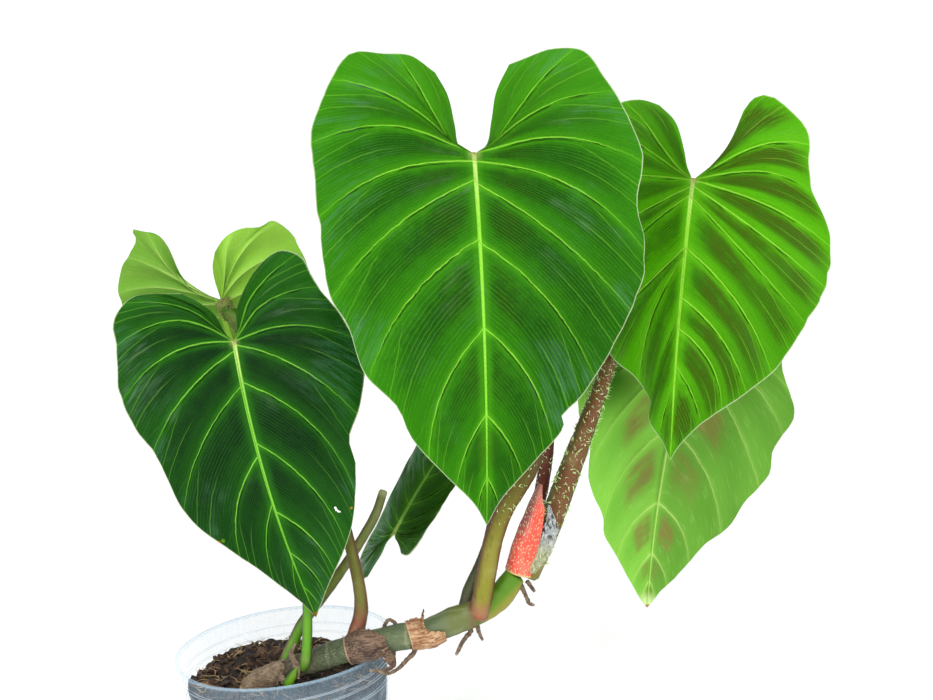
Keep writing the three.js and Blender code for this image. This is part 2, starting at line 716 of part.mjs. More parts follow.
const rooms = [stemRoom, ...stalkRooms];
addPiece('shoot_bud', fitted(limb(BUD), rooms), { color: '#6f9b3a', roughness: 0.6 });
rooms.push(limb(BUD, GAP));

for (const [name, root] of Object.entries(ROOTS)) {
  const shape = { ...root, sides: ROOT_SIDES, steps: 8 };
  addPiece(name, fitted(limb(shape), rooms), { color: '#6b5443', roughness: 0.85 });
  rooms.push(limb(shape, GAP));
}

for (const [name, shape] of Object.entries(HUSKS)) {
  addPiece(name, fitted(husk(shape), rooms), { color: shape.color, roughness: 0.7 });
  rooms.push(husk(shape, GAP));
}

addPiece('pot', makePot(), { color: '#dfe6ea', roughness: 0.25, transparent: true, opacity: 0.45 });
addPiece('potting_mix', fitted(makeMix(), rooms), { color: '#2c211b', roughness: 0.95 });

export default plant;
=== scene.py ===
"""The potted philodendron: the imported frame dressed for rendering, laid out as an add-on."""
import math
import random
from collections import namedtuple

import bmesh
import bpy
import numpy as np
from mathutils import Matrix, Vector, noise


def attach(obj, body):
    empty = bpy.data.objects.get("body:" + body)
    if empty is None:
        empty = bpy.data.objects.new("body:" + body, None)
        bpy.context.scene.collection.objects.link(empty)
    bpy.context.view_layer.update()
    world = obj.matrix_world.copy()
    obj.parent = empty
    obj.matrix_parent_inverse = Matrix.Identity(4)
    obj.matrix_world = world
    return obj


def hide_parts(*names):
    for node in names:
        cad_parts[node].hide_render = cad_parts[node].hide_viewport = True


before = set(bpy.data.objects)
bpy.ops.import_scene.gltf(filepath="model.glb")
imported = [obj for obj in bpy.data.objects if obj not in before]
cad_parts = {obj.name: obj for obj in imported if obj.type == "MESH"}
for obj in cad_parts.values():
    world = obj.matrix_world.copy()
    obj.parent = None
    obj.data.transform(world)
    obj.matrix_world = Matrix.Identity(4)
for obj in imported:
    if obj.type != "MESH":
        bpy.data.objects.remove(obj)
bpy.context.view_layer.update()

bl_info = {
    "name": "Potted philodendron",
    "version": (1, 0, 0),
    "blender": (4, 5, 0),
    "location": "3D View > Sidebar > Plant",
    "description": "Dresses the packed plant with its leaves, stalks, sheaths, roots, pot and mix",
    "category": "Object",
}

MM = 0.001
FULL_TURN = 2 * math.pi
# Faces that meet at less than this look smooth, and points nearer than WELD become one
SMOOTH_ANGLE = math.radians(55)
WELD = 2e-6
# Radius in millimetres from which blemishes and painted shadows in a colour have a soft edge
SOFT_BLEMISH_AND_SHADOW = 4


def tone(code):
    """A colour for a shader, from the usual six-digit notation."""
    parts = [int(code[i:i + 2], 16) / 255 for i in (1, 3, 5)]
    return tuple(p / 12.92 if p < 0.04045 else ((p + 0.055) / 1.055) ** 2.4 for p in parts) + (1.0,)


def length_property(name, default, text):
    return bpy.props.FloatProperty(
        name=name, default=default, min=0, subtype="DISTANCE", unit="LENGTH", precision=4, description=text)


def colour_property(name, default, text):
    return bpy.props.FloatVectorProperty(
        name=name, default=tone(default), size=4, min=0, max=1, subtype="COLOR", description=text)


class PlantSizes(bpy.types.PropertyGroup):
    """Sizes of the finer pieces."""
    blade: length_property("Blade", 0.0006, "Thickness of a leaf away from its veins")
    rib: length_property("Rib", 0.0015, "How far the midrib stands out under the blade at its foot")
    side_vein: length_property("Side vein", 0.0005, "How far a side vein stands out under the blade")
    bristle: length_property("Bristle", 0.0019, "Length of a bristle on the leaf stalks")
    sheath: length_property("Sheath", 0.0007, "Thickness of the dry sheaths")
    pot_height: length_property("Pot height", 0.105, "Height of the pot")
    rim_radius: length_property("Rim radius", 0.060, "Radius of the pot's rim")
    base_radius: length_property("Base radius", 0.045, "Radius of the pot's foot")
    pot_wall: length_property("Pot wall", 0.0012, "Thickness of the pot's wall")
    soil_level: length_property("Mix level", 0.087, "Height of the potting mix in the pot")
    chips: bpy.props.IntProperty(
        name="Bark chips", default=700, min=0, max=900,
        description="Chips on top of the mix and along the wall")
    fibres: bpy.props.IntProperty(
        name="Fibres", default=300, min=0, max=400, description="Fine dry fibres on the mix")


class PlantColours(bpy.types.PropertyGroup):
    """Tones of the plant and its pot."""
    vein_foot: colour_property("Vein foot", "#b9d874", "Midrib near the stalk")
    blotch: colour_property("Blotch", "#4c3a0a", "Maroon bands between the veins")
    edging: colour_property("Edging", "#d9dfba", "Thin pale line along a margin")
    bristle: colour_property("Bristle", "#bfe592", "Bristles of the leaf stalks")
    root: colour_property("Root", "#4a3a2e", "Aerial roots")
    husk: colour_property("Husk", "#301d12", "Dry papery sheaths")
    young_sheath: colour_property("Young sheath", "#dd4430", "Coral sheath of the next leaf")
    pot: colour_property("Pot", "#bcdcf2", "Frosted clear pot")
    mix: colour_property("Mix", "#16100c", "Damp potting mix")
    bark: colour_property("Bark", "#2e1b12", "Bark chips in the mix")
    fibre: colour_property("Fibre", "#b09468", "Dry fibres in the mix")
    floor: colour_property("Floor", "#fafafa", "Pale studio floor")


# Where each vein leaves the midrib, meets the margin, and how far it bows, as on the solids
PLAIN_VEINS = [(0, 0.07, -0.03), (0, 0.2, 0.08), (0, 0.31, 0.13), (0.02, 0.43, 0.12), (0.08, 0.56, 0.08),
    (0.24, 0.7, 0.09), (0.47, 0.85, 0.1), (0.7, 0.92, 0.07), (0.87, 0.97, 0.05)]
LOW_VEINS = [(0, 0.07, -0.03), (0, 0.2, 0.08), (0, 0.33, 0.13), (0.01, 0.45, 0.12), (0.03, 0.6, 0.06),
    (0.32, 0.75, 0.1), (0.61, 0.855, 0.12), (0.8, 0.93, 0.07), (0.9, 0.975, 0.05)]

# The leaves, in millimetres: each hangs from base to tip with its upper face turned to face, and
# its halves are outlined as (across, along) from the base, up the notch and round the margin
LEAVES = {
    "leaf_big": {
        "base": (130.5, -45, 364), "tip": (116.8, -82, 186), "face": (0, -1, 0.35),
        "arch": 9, "wave": 1.6, "quilt": 2.2, "bend": 2,
        "left": {
            "fold": 0.06, "droop": 7,
            "veins": [(0, 0.07, -0.03), (0, 0.2, 0.09), (0, 0.31, 0.15), (0.02, 0.43, 0.12),
                (0.07, 0.56, 0.08), (0.23, 0.7, 0.1), (0.47, 0.86, 0.1), (0.7, 0.92, 0.06),
                (0.87, 0.97, 0.05)],
            "notch": [(7, -4), (9, -15), (12, -30), (18, -42)],
            "margin": [(30, -51), (44, -53), (60, -54), (71, -38), (79, -15), (78, 12), (75, 50), (72, 70),
                (64, 84), (57, 106), (41, 123), (36, 136), (21, 155), (6, 171)],
        },
        "right": {
            "fold": 0.02, "droop": 7,
            "veins": [(0, 0.11, 0.01), (0, 0.21, 0.1), (0, 0.335, 0.13), (0.02, 0.48, 0.12),
                (0.08, 0.58, 0.05), (0.24, 0.7, 0.08), (0.47, 0.83, 0.1), (0.7, 0.9, 0.07),
                (0.87, 0.96, 0.05)],
            "notch": [(6, -4), (9, -16), (12, -31), (19, -45)],
            "margin": [(28, -48), (40, -52), (56, -51), (65, -39), (75, -20), (82, 3), (79, 28), (82, 47),
                (76, 73), (64, 96), (49, 119), (38, 130), (39, 134), (26, 150), (8, 169)],
        },
    },
    "leaf_front": {
        "base": (-0.5, -30, 281), "tip": (24.5, -50, 137), "face": (0, -1, 0.3),
        "arch": 7, "wave": 1.4, "quilt": 2, "bend": -4,
        "left": {
            "fold": 0.05, "droop": 7,
            "veins": [(0, 0.06, 0.05), (0, 0.13, 0.1), (0, 0.23, 0.18), (0, 0.35, 0.15), (0.03, 0.48, 0.08),
                (0.15, 0.625, 0.07), (0.4, 0.785, 0.11), (0.57, 0.875, 0.09), (0.78, 0.95, 0.06)],
            "notch": [(3, -5), (6, -16), (13, -25), (20, -31)],
            "margin": [(27, -33), (44, -36), (55, -29), (60, -11), (63, 11), (60, 31), (53, 47), (51, 62),
                (49, 75), (42, 88), (23, 112), (7, 134)],
        },
        "right": {
            "fold": 0, "droop": 8,
            "veins": [(0, 0.115, 0.07), (0, 0.205, 0.13), (0, 0.345, 0.12), (0.01, 0.52, 0.1),
                (0.14, 0.7, 0.13), (0.35, 0.82, 0.1), (0.6, 0.885, 0.09), (0.75, 0.94, 0.07),
                (0.88, 0.975, 0.05)],
            "notch": [(3, -5), (5, -14), (11, -23), (19, -31)],
            "margin": [(27, -36), (35, -38), (43, -33), (48, -19), (57, 6), (60, 27), (54, 46), (42, 64),
                (42, 77), (36, 96), (28, 112), (11, 133)],
        },
    },
    "leaf_right": {
        "base": (240.4, -15, 335.3), "tip": (213.1, -45, 197.7), "face": (0, -1, 0.25),
        "arch": 7, "wave": 2, "quilt": 2.2, "bend": -2,
        "left": {
            "fold": -0.7, "droop": 2,
            "veins": [(0, 0.08, -0.05), (0, 0.16, 0), (0, 0.29, 0.03), (0.02, 0.44, 0.01),
                (0.05, 0.54, 0.04), (0.24, 0.65, 0), (0.27, 0.8, 0.07), (0.48, 0.87, 0.04),
                (0.72, 0.94, 0.04)],
            "notch": [(3, -7), (5, -16), (10, -31), (18, -40)],
            "margin": [(28, -43), (39, -41), (47, -25), (49, 4), (48, 35), (42, 69), (33, 93), (20, 103),
                (12, 114), (12, 124), (4, 135)],
        },
        "right": {
            "fold": 0.05, "droop": 6,
            "veins": [(0, 0.21, 0.17), (0, 0.31, 0.16), (0, 0.43, 0.07), (0.02, 0.515, 0.02),
                (0.06, 0.6, 0.01), (0.245, 0.725, 0.08), (0.42, 0.79, 0.09), (0.53, 0.85, 0.13),
                (0.66, 0.9, 0.05)],
            "notch": [(8, -5), (15, -14), (20, -27), (24, -39)],
            "margin": [(29, -46), (36, -48), (46, -42), (58, -29), (60, -11), (62, 2), (70, 19), (73, 30),
                (71, 49), (59, 75), (49, 92), (30, 110), (14, 123), (3, 137)],
        },
    },
    "leaf_low": {
        "base": (236.9, 25, 240.8), "tip": (202.3, 42, 87.8), "face": (0, 1, 0.2),
        "arch": 8, "wave": 1.6, "quilt": 1.8, "bend": 2,
        "left": {
            "fold": 0, "droop": 6,
            "veins": LOW_VEINS,
            "notch": [(4, -6), (7, -16), (13, -27), (21, -34)],
            "margin": [(33, -37), (45, -29), (50, -12), (52, 7), (59, 22), (63, 34), (58, 55), (57, 72),
                (45, 91), (40, 105), (30, 117), (9, 145)],
        },
        "right": {
            "fold": 0.05, "droop": 5,
            "veins": LOW_VEINS,
            "notch": [(4, -6), (7, -16), (13, -27), (21, -34)],
            "margin": [(33, -37), (46, -28), (54, -10), (56, 12), (57, 35), (51, 53), (45, 66), (44, 84),
                (38, 96), (32, 107), (29, 119), (21, 130), (4, 154)],
        },
    },
    "leaf_rear": {
        "base": (-9.5, 14, 295.5), "tip": (2, 34, 191), "face": (0, 1, 0.2),
        "arch": 3, "wave": 1.5, "quilt": 1.6, "bend": 0,
        "left": {
            "fold": 0, "droop": 4,
            "veins": PLAIN_VEINS,
            "notch": [(0, -6), (0, -13), (1, -21), (4, -28)],
            "margin": [(9, -33), (15, -37), (23, -39), (31, -38), (38, -40), (45, -32), (49, -18), (49, -4),
                (48, 20), (41, 42), (30, 64), (15, 88)],
        },
        "right": {
            "fold": 0, "droop": 4,
            "veins": PLAIN_VEINS,
            "notch": [(5, -1), (11, -6), (16, -17), (18, -37)],
            "margin": [(22, -45), (28, -49), (33, -52), (32, -46), (39, -37), (45, -31), (50, -20),
                (50, -6), (48, 24), (40, 46), (30, 64), (15, 88)],
        },
    },
    "leaf_small": {
        "base": (64.5, 42, 148), "tip": (113, 36, 212), "face": (-0.6, -0.8, 0.1),
        "arch": 4, "wave": 1, "quilt": 1.2, "bend": 0,
        "left": {
            "fold": 0.1, "droop": 2,
            "veins": PLAIN_VEINS,
            "notch": [(2, -2), (5, -3), (8, -5), (10, -7)],
            "margin": [(14, -5), (16, 3), (17, 13), (17, 25), (18, 36), (17, 50), (10, 67)],
        },
        "right": {
            "fold": 0.1, "droop": 3,
            "veins": PLAIN_VEINS,
            "notch": [(2, -8), (2, -17), (3, -27), (4, -35)],
            "margin": [(8, -41), (12, -40), (14, -28), (13, -14), (13, 0), (13, 15), (15, 30), (16, 44),
                (15, 57), (8, 70)],
        },
    },
}

# Stem, leaf stalks and bud, in millimetres: a route, and radii evenly spaced along it
STALKS = {
    "stem": (
        [(-27, -6, 62), (-25, -7, 75), (-20, -8, 86), (-9, -12, 92), (4, -18, 98.5), (18, -25, 104),
            (33, -33, 110.5), (45, -40, 115.5), (65.5, -40, 117.5), (80, -38, 118), (92, -36, 121),
            (107, -34, 124.5), (119.5, -32, 131), (129, -31, 141.5)],
        [4.5, 5.2, 5.6, 5.8, 6, 6.1, 6.8, 6.3, 6.6, 7.2, 6.6, 7.4, 6.8, 7, 5.6]),
    "petiole_big": (
        [(107, -36, 122), (110, -38, 132), (114.5, -37, 148), (120, -35, 164.5), (126.5, -32, 177),
            (142, -27, 197), (155, -22, 225), (158, -15, 266), (150, -18, 315), (138, -33, 349),
            (129.5, -42, 357), (130.5, -45, 364)],
        [5.6, 5.2, 4.8, 4.8, 4.4, 3.9, 3.6, 3.4, 3.2, 3, 2.8]),
    "petiole_front": (
        [(40, -37, 115), (43, -35.5, 122), (46, -33, 129.5), (47, -30.5, 138), (44.5, -23, 163.5),
            (36, -14, 204), (20, -13, 247), (5, -20, 270), (0.5, -27, 275), (-0.5, -30, 281)],
        [4.4, 3.4, 3, 3, 2.9, 2.8, 2.8, 2.6]),
    "petiole_right": (
        [(135, -28, 138), (145.5, -24, 156), (154, -20.5, 172), (166, -17, 196), (176, -13, 215.5),
            (186, -9, 235), (206, -3, 275), (231, -3, 318), (239.5, -11, 328), (240.4, -15, 335)],
        [5.6, 6.2, 6.2, 5.7, 4.8, 4, 3.8, 3.8, 3.7, 3.6, 3.4]),
    "petiole_low": (
        [(127, -26, 139), (136.5, -17, 150.5), (142, -14, 164.5), (147.5, -11, 179.5), (151.5, -9, 194.5),
            (156.5, -5, 215.5), (166, 1, 235), (190, 8, 250), (215, 15, 251), (231, 20, 243),
            (236, 23, 236)],
        [3.7, 3.6, 3.6, 3.6, 3.5, 3.5, 3.4, 3.3, 3.1, 2.9]),
    "petiole_rear": (
        [(11, -23, 100), (13, -30, 104), (15, -33, 111), (19, -33, 137), (21, -26, 171), (16, -8, 221),
            (6, 0, 269.5), (-3, 4, 287), (-7, 11, 290), (-9.5, 14, 295.5)],
        [2.9, 2.7, 2.6, 2.6, 2.6, 2.6, 2.7, 2.9, 3.9, 4.3]),
    "petiole_small": (
        [(99, -31, 122), (104, -26, 134), (110, -20, 142.5), (116, -12, 152), (121, 2, 168), (113, 25, 180),
            (96, 44, 176), (76, 52, 160), (68, 47, 152), (64.5, 42, 148)],
        [3.6, 3.4, 3.2, 3.1, 3, 2.8, 2.5, 2.2]),
    "petiole_cut": (
        [(-2, -15, 96), (4, -12, 106), (12, -10, 119), (31, -2, 138), (46, 8, 154), (57, 15, 168),
            (63, 20, 180)],
        [3.2, 3, 3, 2.8, 2.7, 2.6, 2.4]),
    "shoot_bud": (
        [(2, -25.5, 92.5), (3.6, -29, 95), (6.5, -30.5, 99.5), (9, -30.5, 103.5)],
        [2.6, 2.8, 2.3, 0.6]),
}

# Aerial roots, in the same way
ROOTS = {
    "root_loop": (
        [(57, -38, 121), (58.5, -38, 124.5), (60.5, -38, 126.8), (63, -38, 125.5), (64.5, -38, 122.5)],
        [1, 1, 0.9, 1, 1.1]),
    "root_rim_a": (
        [(73, -41, 114), (72, -44, 110), (68, -47, 107.4), (64, -51, 105.2), (60, -55, 104.6),
            (56.5, -58, 105.4), (54, -60, 108)],
        [1.6, 1.4, 1.2, 1.1, 1, 0.9, 0.7]),
    "root_rim_b": (
        [(62, -41, 114), (61, -46, 109.5), (61, -49.5, 106.4), (57.5, -52, 105.2), (53, -56, 106.6),
            (49, -58, 108.2)],
        [1.6, 1.4, 1.2, 1.1, 1, 0.8]),
    "root_mid_a": (
        [(103, -35, 119), (102, -36, 114.5), (99, -38, 112), (96.5, -38, 108.6), (93.3, -38, 103.4)],
        [1.6, 1.4, 1.2, 1.1, 0.8]),
    "root_mid_b": (
        [(106, -36, 119), (106.6, -37, 114.5), (108, -37, 109.5)],
        [1.2, 1.1, 0.8]),
    "root_tip_a": (
        [(131, -31, 136), (132.4, -33, 132), (133.6, -33, 128), (134.5, -32, 125.2), (137, -31, 123.4)],
        [1.4, 1.2, 1.1, 1, 0.7]),
    "root_tip_b": (
        [(134.5, -30, 137), (136.3, -30, 133.5), (138, -30, 130.5)],
        [1.2, 1.1, 0.8]),
}

# Sheaths: husks about a route, with radii, the half angles that they wrap and the way their middle faces
SHEATHS = {
    "sheath_red": (
        [(131.5, -29, 142), (138, -28, 158), (144.5, -27, 173), (149, -29, 188)],
        [8.2, 8.2, 7.6, 6.2, 3.6], [86, 86, 78, 66, 22], (-0.75, -0.65, 0)),
    "sheath_clear": (
        [(136.5, -28, 143), (145, -26, 156), (149.5, -25, 167), (149.5, -26, 177)],
        [8.6, 9, 8.2, 5.4], [14, 34, 32, 8], (0.1, -1, 0)),
    "sheath_brown": (
        [(38, -36.5, 112.6), (47, -40, 115.6), (60, -40, 117)],
        [8.2, 9.2, 8], [110, 120, 60], (0.1, -0.8, -0.3)),
    "sheath_ring": (
        [(70, -39.5, 117.6), (80, -38, 118), (88, -37, 120)],
        [8, 8.9, 8.4], [150, 150, 150, 146, 70, 52, 46, 40, 30], (0, -0.8, -0.5)),
    "sheath_strip_a": (
        [(9, -27, 96), (9.5, -28.5, 104), (7.5, -27, 110), (10, -24, 114.5)],
        [2.2, 2.6, 2.6, 1.6], [60, 76, 66, 40], (-1, -1, 0)),
    "sheath_strip_b": (
        [(3, -24, 90.5), (1, -24, 94), (-1, -22, 99.5)],
        [2, 2.4, 1.4], [64, 78, 44], (-0.8, -1, 0)),
}


# Shader values as Python expressions

class Value:
    """A number that varies over a surface, and takes part in ordinary arithmetic."""

    def __init__(self, finish, socket):
        self.finish = finish
        self.socket = socket

    def maths(self, operation, first, second=0.0):
        return self.finish.add("ShaderNodeMath", {"operation": operation}, {0: first, 1: second})

    def __add__(self, other):
        return self.maths("ADD", self, other)

    __radd__ = __add__

    def __sub__(self, other):
        return self.maths("SUBTRACT", self, other)

    def __rsub__(self, other):
        return self.maths("SUBTRACT", other, self)

    def __mul__(self, other):
        return self.maths("MULTIPLY", self, other)

    __rmul__ = __mul__

    def __abs__(self):
        return self.maths("ABSOLUTE", self)

    def fraction(self):
        return self.maths("FRACT", self)

    def rise(self, low, high):
        """0 below low, 1 above high, and smooth between them."""
        return self.finish.add(
            "ShaderNodeMapRange", {"interpolation_type": "SMOOTHSTEP"}, {0: self, 1: low, 2: high})

    def fall(self, low, high):
        """1 below low, 0 above high, and smooth between them."""
        return 1 - self.rise(low, high)


class Finish:
    """A procedural material that is built from expressions on its values."""

    def __init__(self, name):
        self.material = bpy.data.materials.new(name)
        self.material.use_nodes = True
        self.nodes = self.material.node_tree.nodes
        self.links = self.material.node_tree.links
        self.nodes.clear()
        self.shader = self.nodes.new("ShaderNodeBsdfPrincipled")
        output = self.nodes.new("ShaderNodeOutputMaterial")
        self.links.new(self.shader.outputs[0], output.inputs[0])
        self.place = self.add("ShaderNodeTexCoord", out="Object")

    def add(self, kind, settings=None, values=None, out=0):
        node = self.nodes.new(kind)
        for key, value in (settings or {}).items():
            setattr(node, key, value)
        for key, value in (values or {}).items():
            self.give(node.inputs[key], value)
        return Value(self, node.outputs[out])

    def give(self, socket, value):
        if isinstance(value, Value):
            self.links.new(value.socket, socket)
        else:
            socket.default_value = value

    def read(self, layer):
        return self.add("ShaderNodeAttribute", {"attribute_name": layer}, out="Fac")

    def axis(self, name):
        return self.add("ShaderNodeSeparateXYZ", None, {0: self.place}, out=name)

    def stretched(self, stretch, shift=(0, 0, 0)):
        """Places in space, stretched and then shifted."""
        return self.add(
            "ShaderNodeVectorMath", {"operation": "MULTIPLY_ADD"}, {0: self.place, 1: stretch, 2: shift})

    def pair(self, first, second, shift=0.0):
        """Places over two values of the surface's own."""
        return self.add("ShaderNodeCombineXYZ", None, {0: first, 1: second, 2: shift})

    def noise(self, places, scale, detail):
        return self.add("ShaderNodeTexNoise", None, {"Vector": places, "Scale": scale, "Detail": detail})

    def cloud(self, scale, detail=2.0, stretch=(1, 1, 1), shift=(0, 0, 0)):
        """Soft noise, with scale in features a metre."""
        return self.noise(self.stretched(stretch, shift), scale, detail)

    def weave(self, first, second, shift=0.0, detail=2.0):
        """Soft noise over two values of the surface's own."""
        return self.noise(self.pair(first, second, shift), 1.0, detail)

    def scatter(self, places, scale, low, high, randomness=1.0, **settings):
        """1 on the points or lines of an irregular pattern, and 0 away from them."""
        values = {"Vector": places, "Scale": scale, "Randomness": randomness}
        return self.add("ShaderNodeTexVoronoi", settings, values).fall(low, high)

    def dots(self, scale, low, high):
        """1 in the middle of scattered round dots."""
        return self.scatter(self.place, scale, low, high, randomness=0.8)

    def specks(self, first, second, low, high):
        """1 in the middle of scattered dots over two values of the surface's own."""
        return self.scatter(self.pair(first, second), 1.0, low, high, voronoi_dimensions="2D")

    def net(self, scale, width, stretch=(1, 1, 1)):
        """1 on the lines of an irregular net."""
        return self.scatter(self.stretched(stretch), scale, 0.0, width, feature="DISTANCE_TO_EDGE")

    def blemish_and_shadow(self, centre, radius):
        """1 about a point, in millimetres: a small one has a crisp edge, a large one a soft one."""
        place = tuple(c * MM for c in centre)
        far = self.add(
            "ShaderNodeVectorMath", {"operation": "DISTANCE"}, {0: self.place, 1: place}, out="Value")
        return far.fall(radius * MM * (0.6 if radius < SOFT_BLEMISH_AND_SHADOW else 0.1), radius * MM)

    def blend(self, share, first, second):
        first, second = (tone(color) if isinstance(color, str) else color for color in (first, second))
        return self.add("ShaderNodeMix", {"data_type": "RGBA"}, {0: share, 6: first, 7: second}, out=2)

    def coats(self, color, *coats):
        """A colour under coats of others, each given as (share, colour)."""
        for share, coat in coats:
            color = self.blend(share, color, coat)
        return color

    def bump(self, height, depth):
        return self.add("ShaderNodeBump", None, {"Height": height, "Distance": depth}, out="Normal")

    def done(self, **values):
        for key, value in values.items():
            self.give(self.shader.inputs[key.replace("_", " ")], value)
        return self.material


# Shapes shared by the pieces

class Track:
    """A smooth line through its points, read by the share of its length."""

    def __init__(self, points, steps=480):
        points = np.array(points, float)
        last = len(points) - 1
        ends = (2 * points[0] - points[1], 2 * points[last] - points[last - 1])
        guide = np.vstack([ends[0], points, ends[1]])
        self.line = np.array([self.through(guide, last, t) for t in np.linspace(0, last, steps + 1)])
        runs = np.linalg.norm(np.diff(self.line, axis=0), axis=1)
        self.length = runs.sum()
        self.share = np.concatenate([[0], np.cumsum(runs)]) / self.length

    @staticmethod
    def through(guide, last, t):
        """A point of the centripetal curve through the guide's inner points."""
        i = min(int(t), last - 1)
        w = t - i
        p0, p1, p2, p3 = guide[i:i + 4]
        d0, d1, d2 = (max(np.sum((b - a) ** 2), 1e-8) ** 0.25 for a, b in ((p0, p1), (p1, p2), (p2, p3)))
        t1 = ((p1 - p0) / d0 - (p2 - p0) / (d0 + d1) + (p2 - p1) / d1) * d1
        t2 = ((p2 - p1) / d1 - (p3 - p1) / (d1 + d2) + (p3 - p2) / d2) * d1
        return p1 + t1 * w + (3 * (p2 - p1) - 2 * t1 - t2) * w ** 2 + (2 * (p1 - p2) + t1 + t2) * w ** 3

    def at(self, share):
        return np.stack([np.interp(share, self.share, column) for column in self.line.T], -1)


def along(values, share):
    """Value at a share of the way along a list of evenly spaced values."""
    values = np.array(values, float)
    return np.interp(np.clip(share, 0, 1) * (len(values) - 1), np.arange(len(values)), values)


def unit(vector):
    vector = np.array(vector, float)
    return vector / np.linalg.norm(vector)


def frames(track, steps):
    """Points along a track, each with two directions square to it that turn as little as they can."""
    shares = np.linspace(0, 1, steps + 1)
    points = track.at(shares)
    ways = np.array([unit(track.at(min(s + 0.004, 1)) - track.at(max(s - 0.004, 0))) for s in shares])
    side = unit(np.cross(ways[0], (0.13, 0.21, 0.97) if abs(ways[0][2]) < 0.9 else (1, 0, 0)))
    sides = []
    for way in ways:
        side = unit(side - way * side.dot(way))
        sides.append(side)
    sides = np.array(sides)
    return points, ways, sides, np.cross(ways, sides)


def mesh_object(name, bm):
    """Makes a mesh under construction an object of the scene."""
    mesh = bpy.data.meshes.new(name)
    bm.to_mesh(mesh)
    bm.free()
    made = bpy.data.objects.new(name, mesh)
    bpy.context.scene.collection.objects.link(made)
    return made


def finish_piece(name, bm, finish, nodes):
    """The mesh as a named object that rides on the plant and stands for its CAD nodes."""
    for edge in bm.edges:
        edge.smooth = len(edge.link_faces) == 2 and edge.calc_face_angle(0) < SMOOTH_ANGLE
    for face in bm.faces:
        face.smooth = True
    piece = mesh_object(name, bm)
    piece.data.materials.append(finish)
    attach(piece, "root")
    if nodes:
        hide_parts(*nodes)
    return piece


def thick_sheet(columns, rows, shape, layers):
    """A closed sheet: a grid and its underside, whose points and named layers shape gives from
    x (-1 to 1), y (0 to 1) and whether they lie on the underside."""
    bm = bmesh.new()
    stores = [bm.verts.layers.float.new(layer) for layer in layers]
    bmesh.ops.create_grid(bm, x_segments=columns, y_segments=rows, size=1)
    made = bmesh.ops.extrude_face_region(bm, geom=bm.faces[:], use_keep_orig=True)
    under = {v for v in made["geom"] if isinstance(v, bmesh.types.BMVert)}
    verts = bm.verts[:]
    flat = np.array([v.co for v in verts])
    lower = np.array([v in under for v in verts])
    points, values = shape(flat[:, 0], (flat[:, 1] + 1) / 2, lower)
    for i, vert in enumerate(verts):
        vert.co = points[i] * MM
        for store, column in zip(stores, values):
            vert[store] = column[i]
    bmesh.ops.remove_doubles(bm, verts=bm.verts[:], dist=WELD)
    bmesh.ops.dissolve_degenerate(bm, edges=bm.edges[:], dist=WELD / 2)
    bmesh.ops.recalc_face_normals(bm, faces=bm.faces[:])
    return bm


# What each point of a limb knows: its share of the way along, and how much it faces the viewer
LIMB_LAYERS = ("along", "front")
END_NARROWING = 0.72
# How near a stalk's end its leaf flattens it, in metres
JOINT_REACH = 0.014


def add_limb(bm, route, radii, sides=20, steps=60, roughness=0.0, grain=0.25):
    """A rod of round section bent along a route, added to a mesh, with its layers filled."""
    track = Track(route)
    points, _, side, lift = frames(track, steps)
    rod = bmesh.new()
    run, front = (rod.verts.layers.float.new(layer) for layer in LIMB_LAYERS)
    bmesh.ops.create_cone(rod, cap_ends=True, segments=sides, radius1=1, radius2=1, depth=1)
    lengthwise = [e for e in rod.edges if abs(e.verts[0].co.z - e.verts[1].co.z) > 0.5]
    bmesh.ops.subdivide_edges(rod, edges=lengthwise, cuts=steps - 1, use_grid_fill=True)
    for vert in rod.verts:
        share = vert.co.z + 0.5
        step = round(share * steps)
        out = side[step] * vert.co.x + lift[step] * vert.co.y
        radius = along(radii, share) * (END_NARROWING if step in (0, steps) else 1)
        uneven = noise.noise(Vector((points[step] + out * radius) * grain))
        vert[run] = share
        vert[front] = -out[1]
        vert.co = (points[step] + out * radius * (1 + roughness * uneven)) * MM
    bmesh.ops.recalc_face_normals(rod, faces=rod.faces[:])
    add_copy(bm, rod)
    rod.free()
    return track


def add_copy(bm, part, matrix=Matrix.Identity(4)):
    """Adds a copy of one mesh under construction to another."""
    mesh = bpy.data.meshes.new("part")
    part.to_mesh(mesh)
    count = len(bm.verts)
    bm.from_mesh(mesh)
    bpy.data.meshes.remove(mesh)
    bm.verts.ensure_lookup_table()
    bmesh.ops.transform(bm, matrix=matrix, verts=bm.verts[count:])


# Leaves

# Panels on a half, counted from the top of the notch, and how many of them the notch pulls at
CELLS = len(PLAIN_VEINS) + 1
NOTCH_REACH = 5
# Fineness of a blade's grid, whose columns crowd towards the midrib by this power
BLADE_COLUMNS = 88
CELL_ROWS = 12
CROWDING = 1.3
# What each point of a blade knows: the width of its panel, its distances from the midrib and the
# margin, its panel and how far into it, its shares of the way out and down, its half and its face
BLADE_LAYERS = ("gap", "rib", "edge", "cell", "out", "share", "side", "upper")
# Long waves of a margin, calmed where a vein is shorter than this chord, and its finer unevenness
WAVES = 5
CALM_CHORD = 30
RIPPLE = 0.022
FLUTTER = 1.1
# Widths of the midrib at its foot and of the side veins, and the grooves over them, in millimetres
MIDRIB_WIDTH = 1.7
MIDRIB_TAPER = 1.3
VEIN_WIDTH = 0.8
GROOVE_WIDTH = 1.3
GROOVE_DEPTH = 0.6
EPSILON = 1e-6


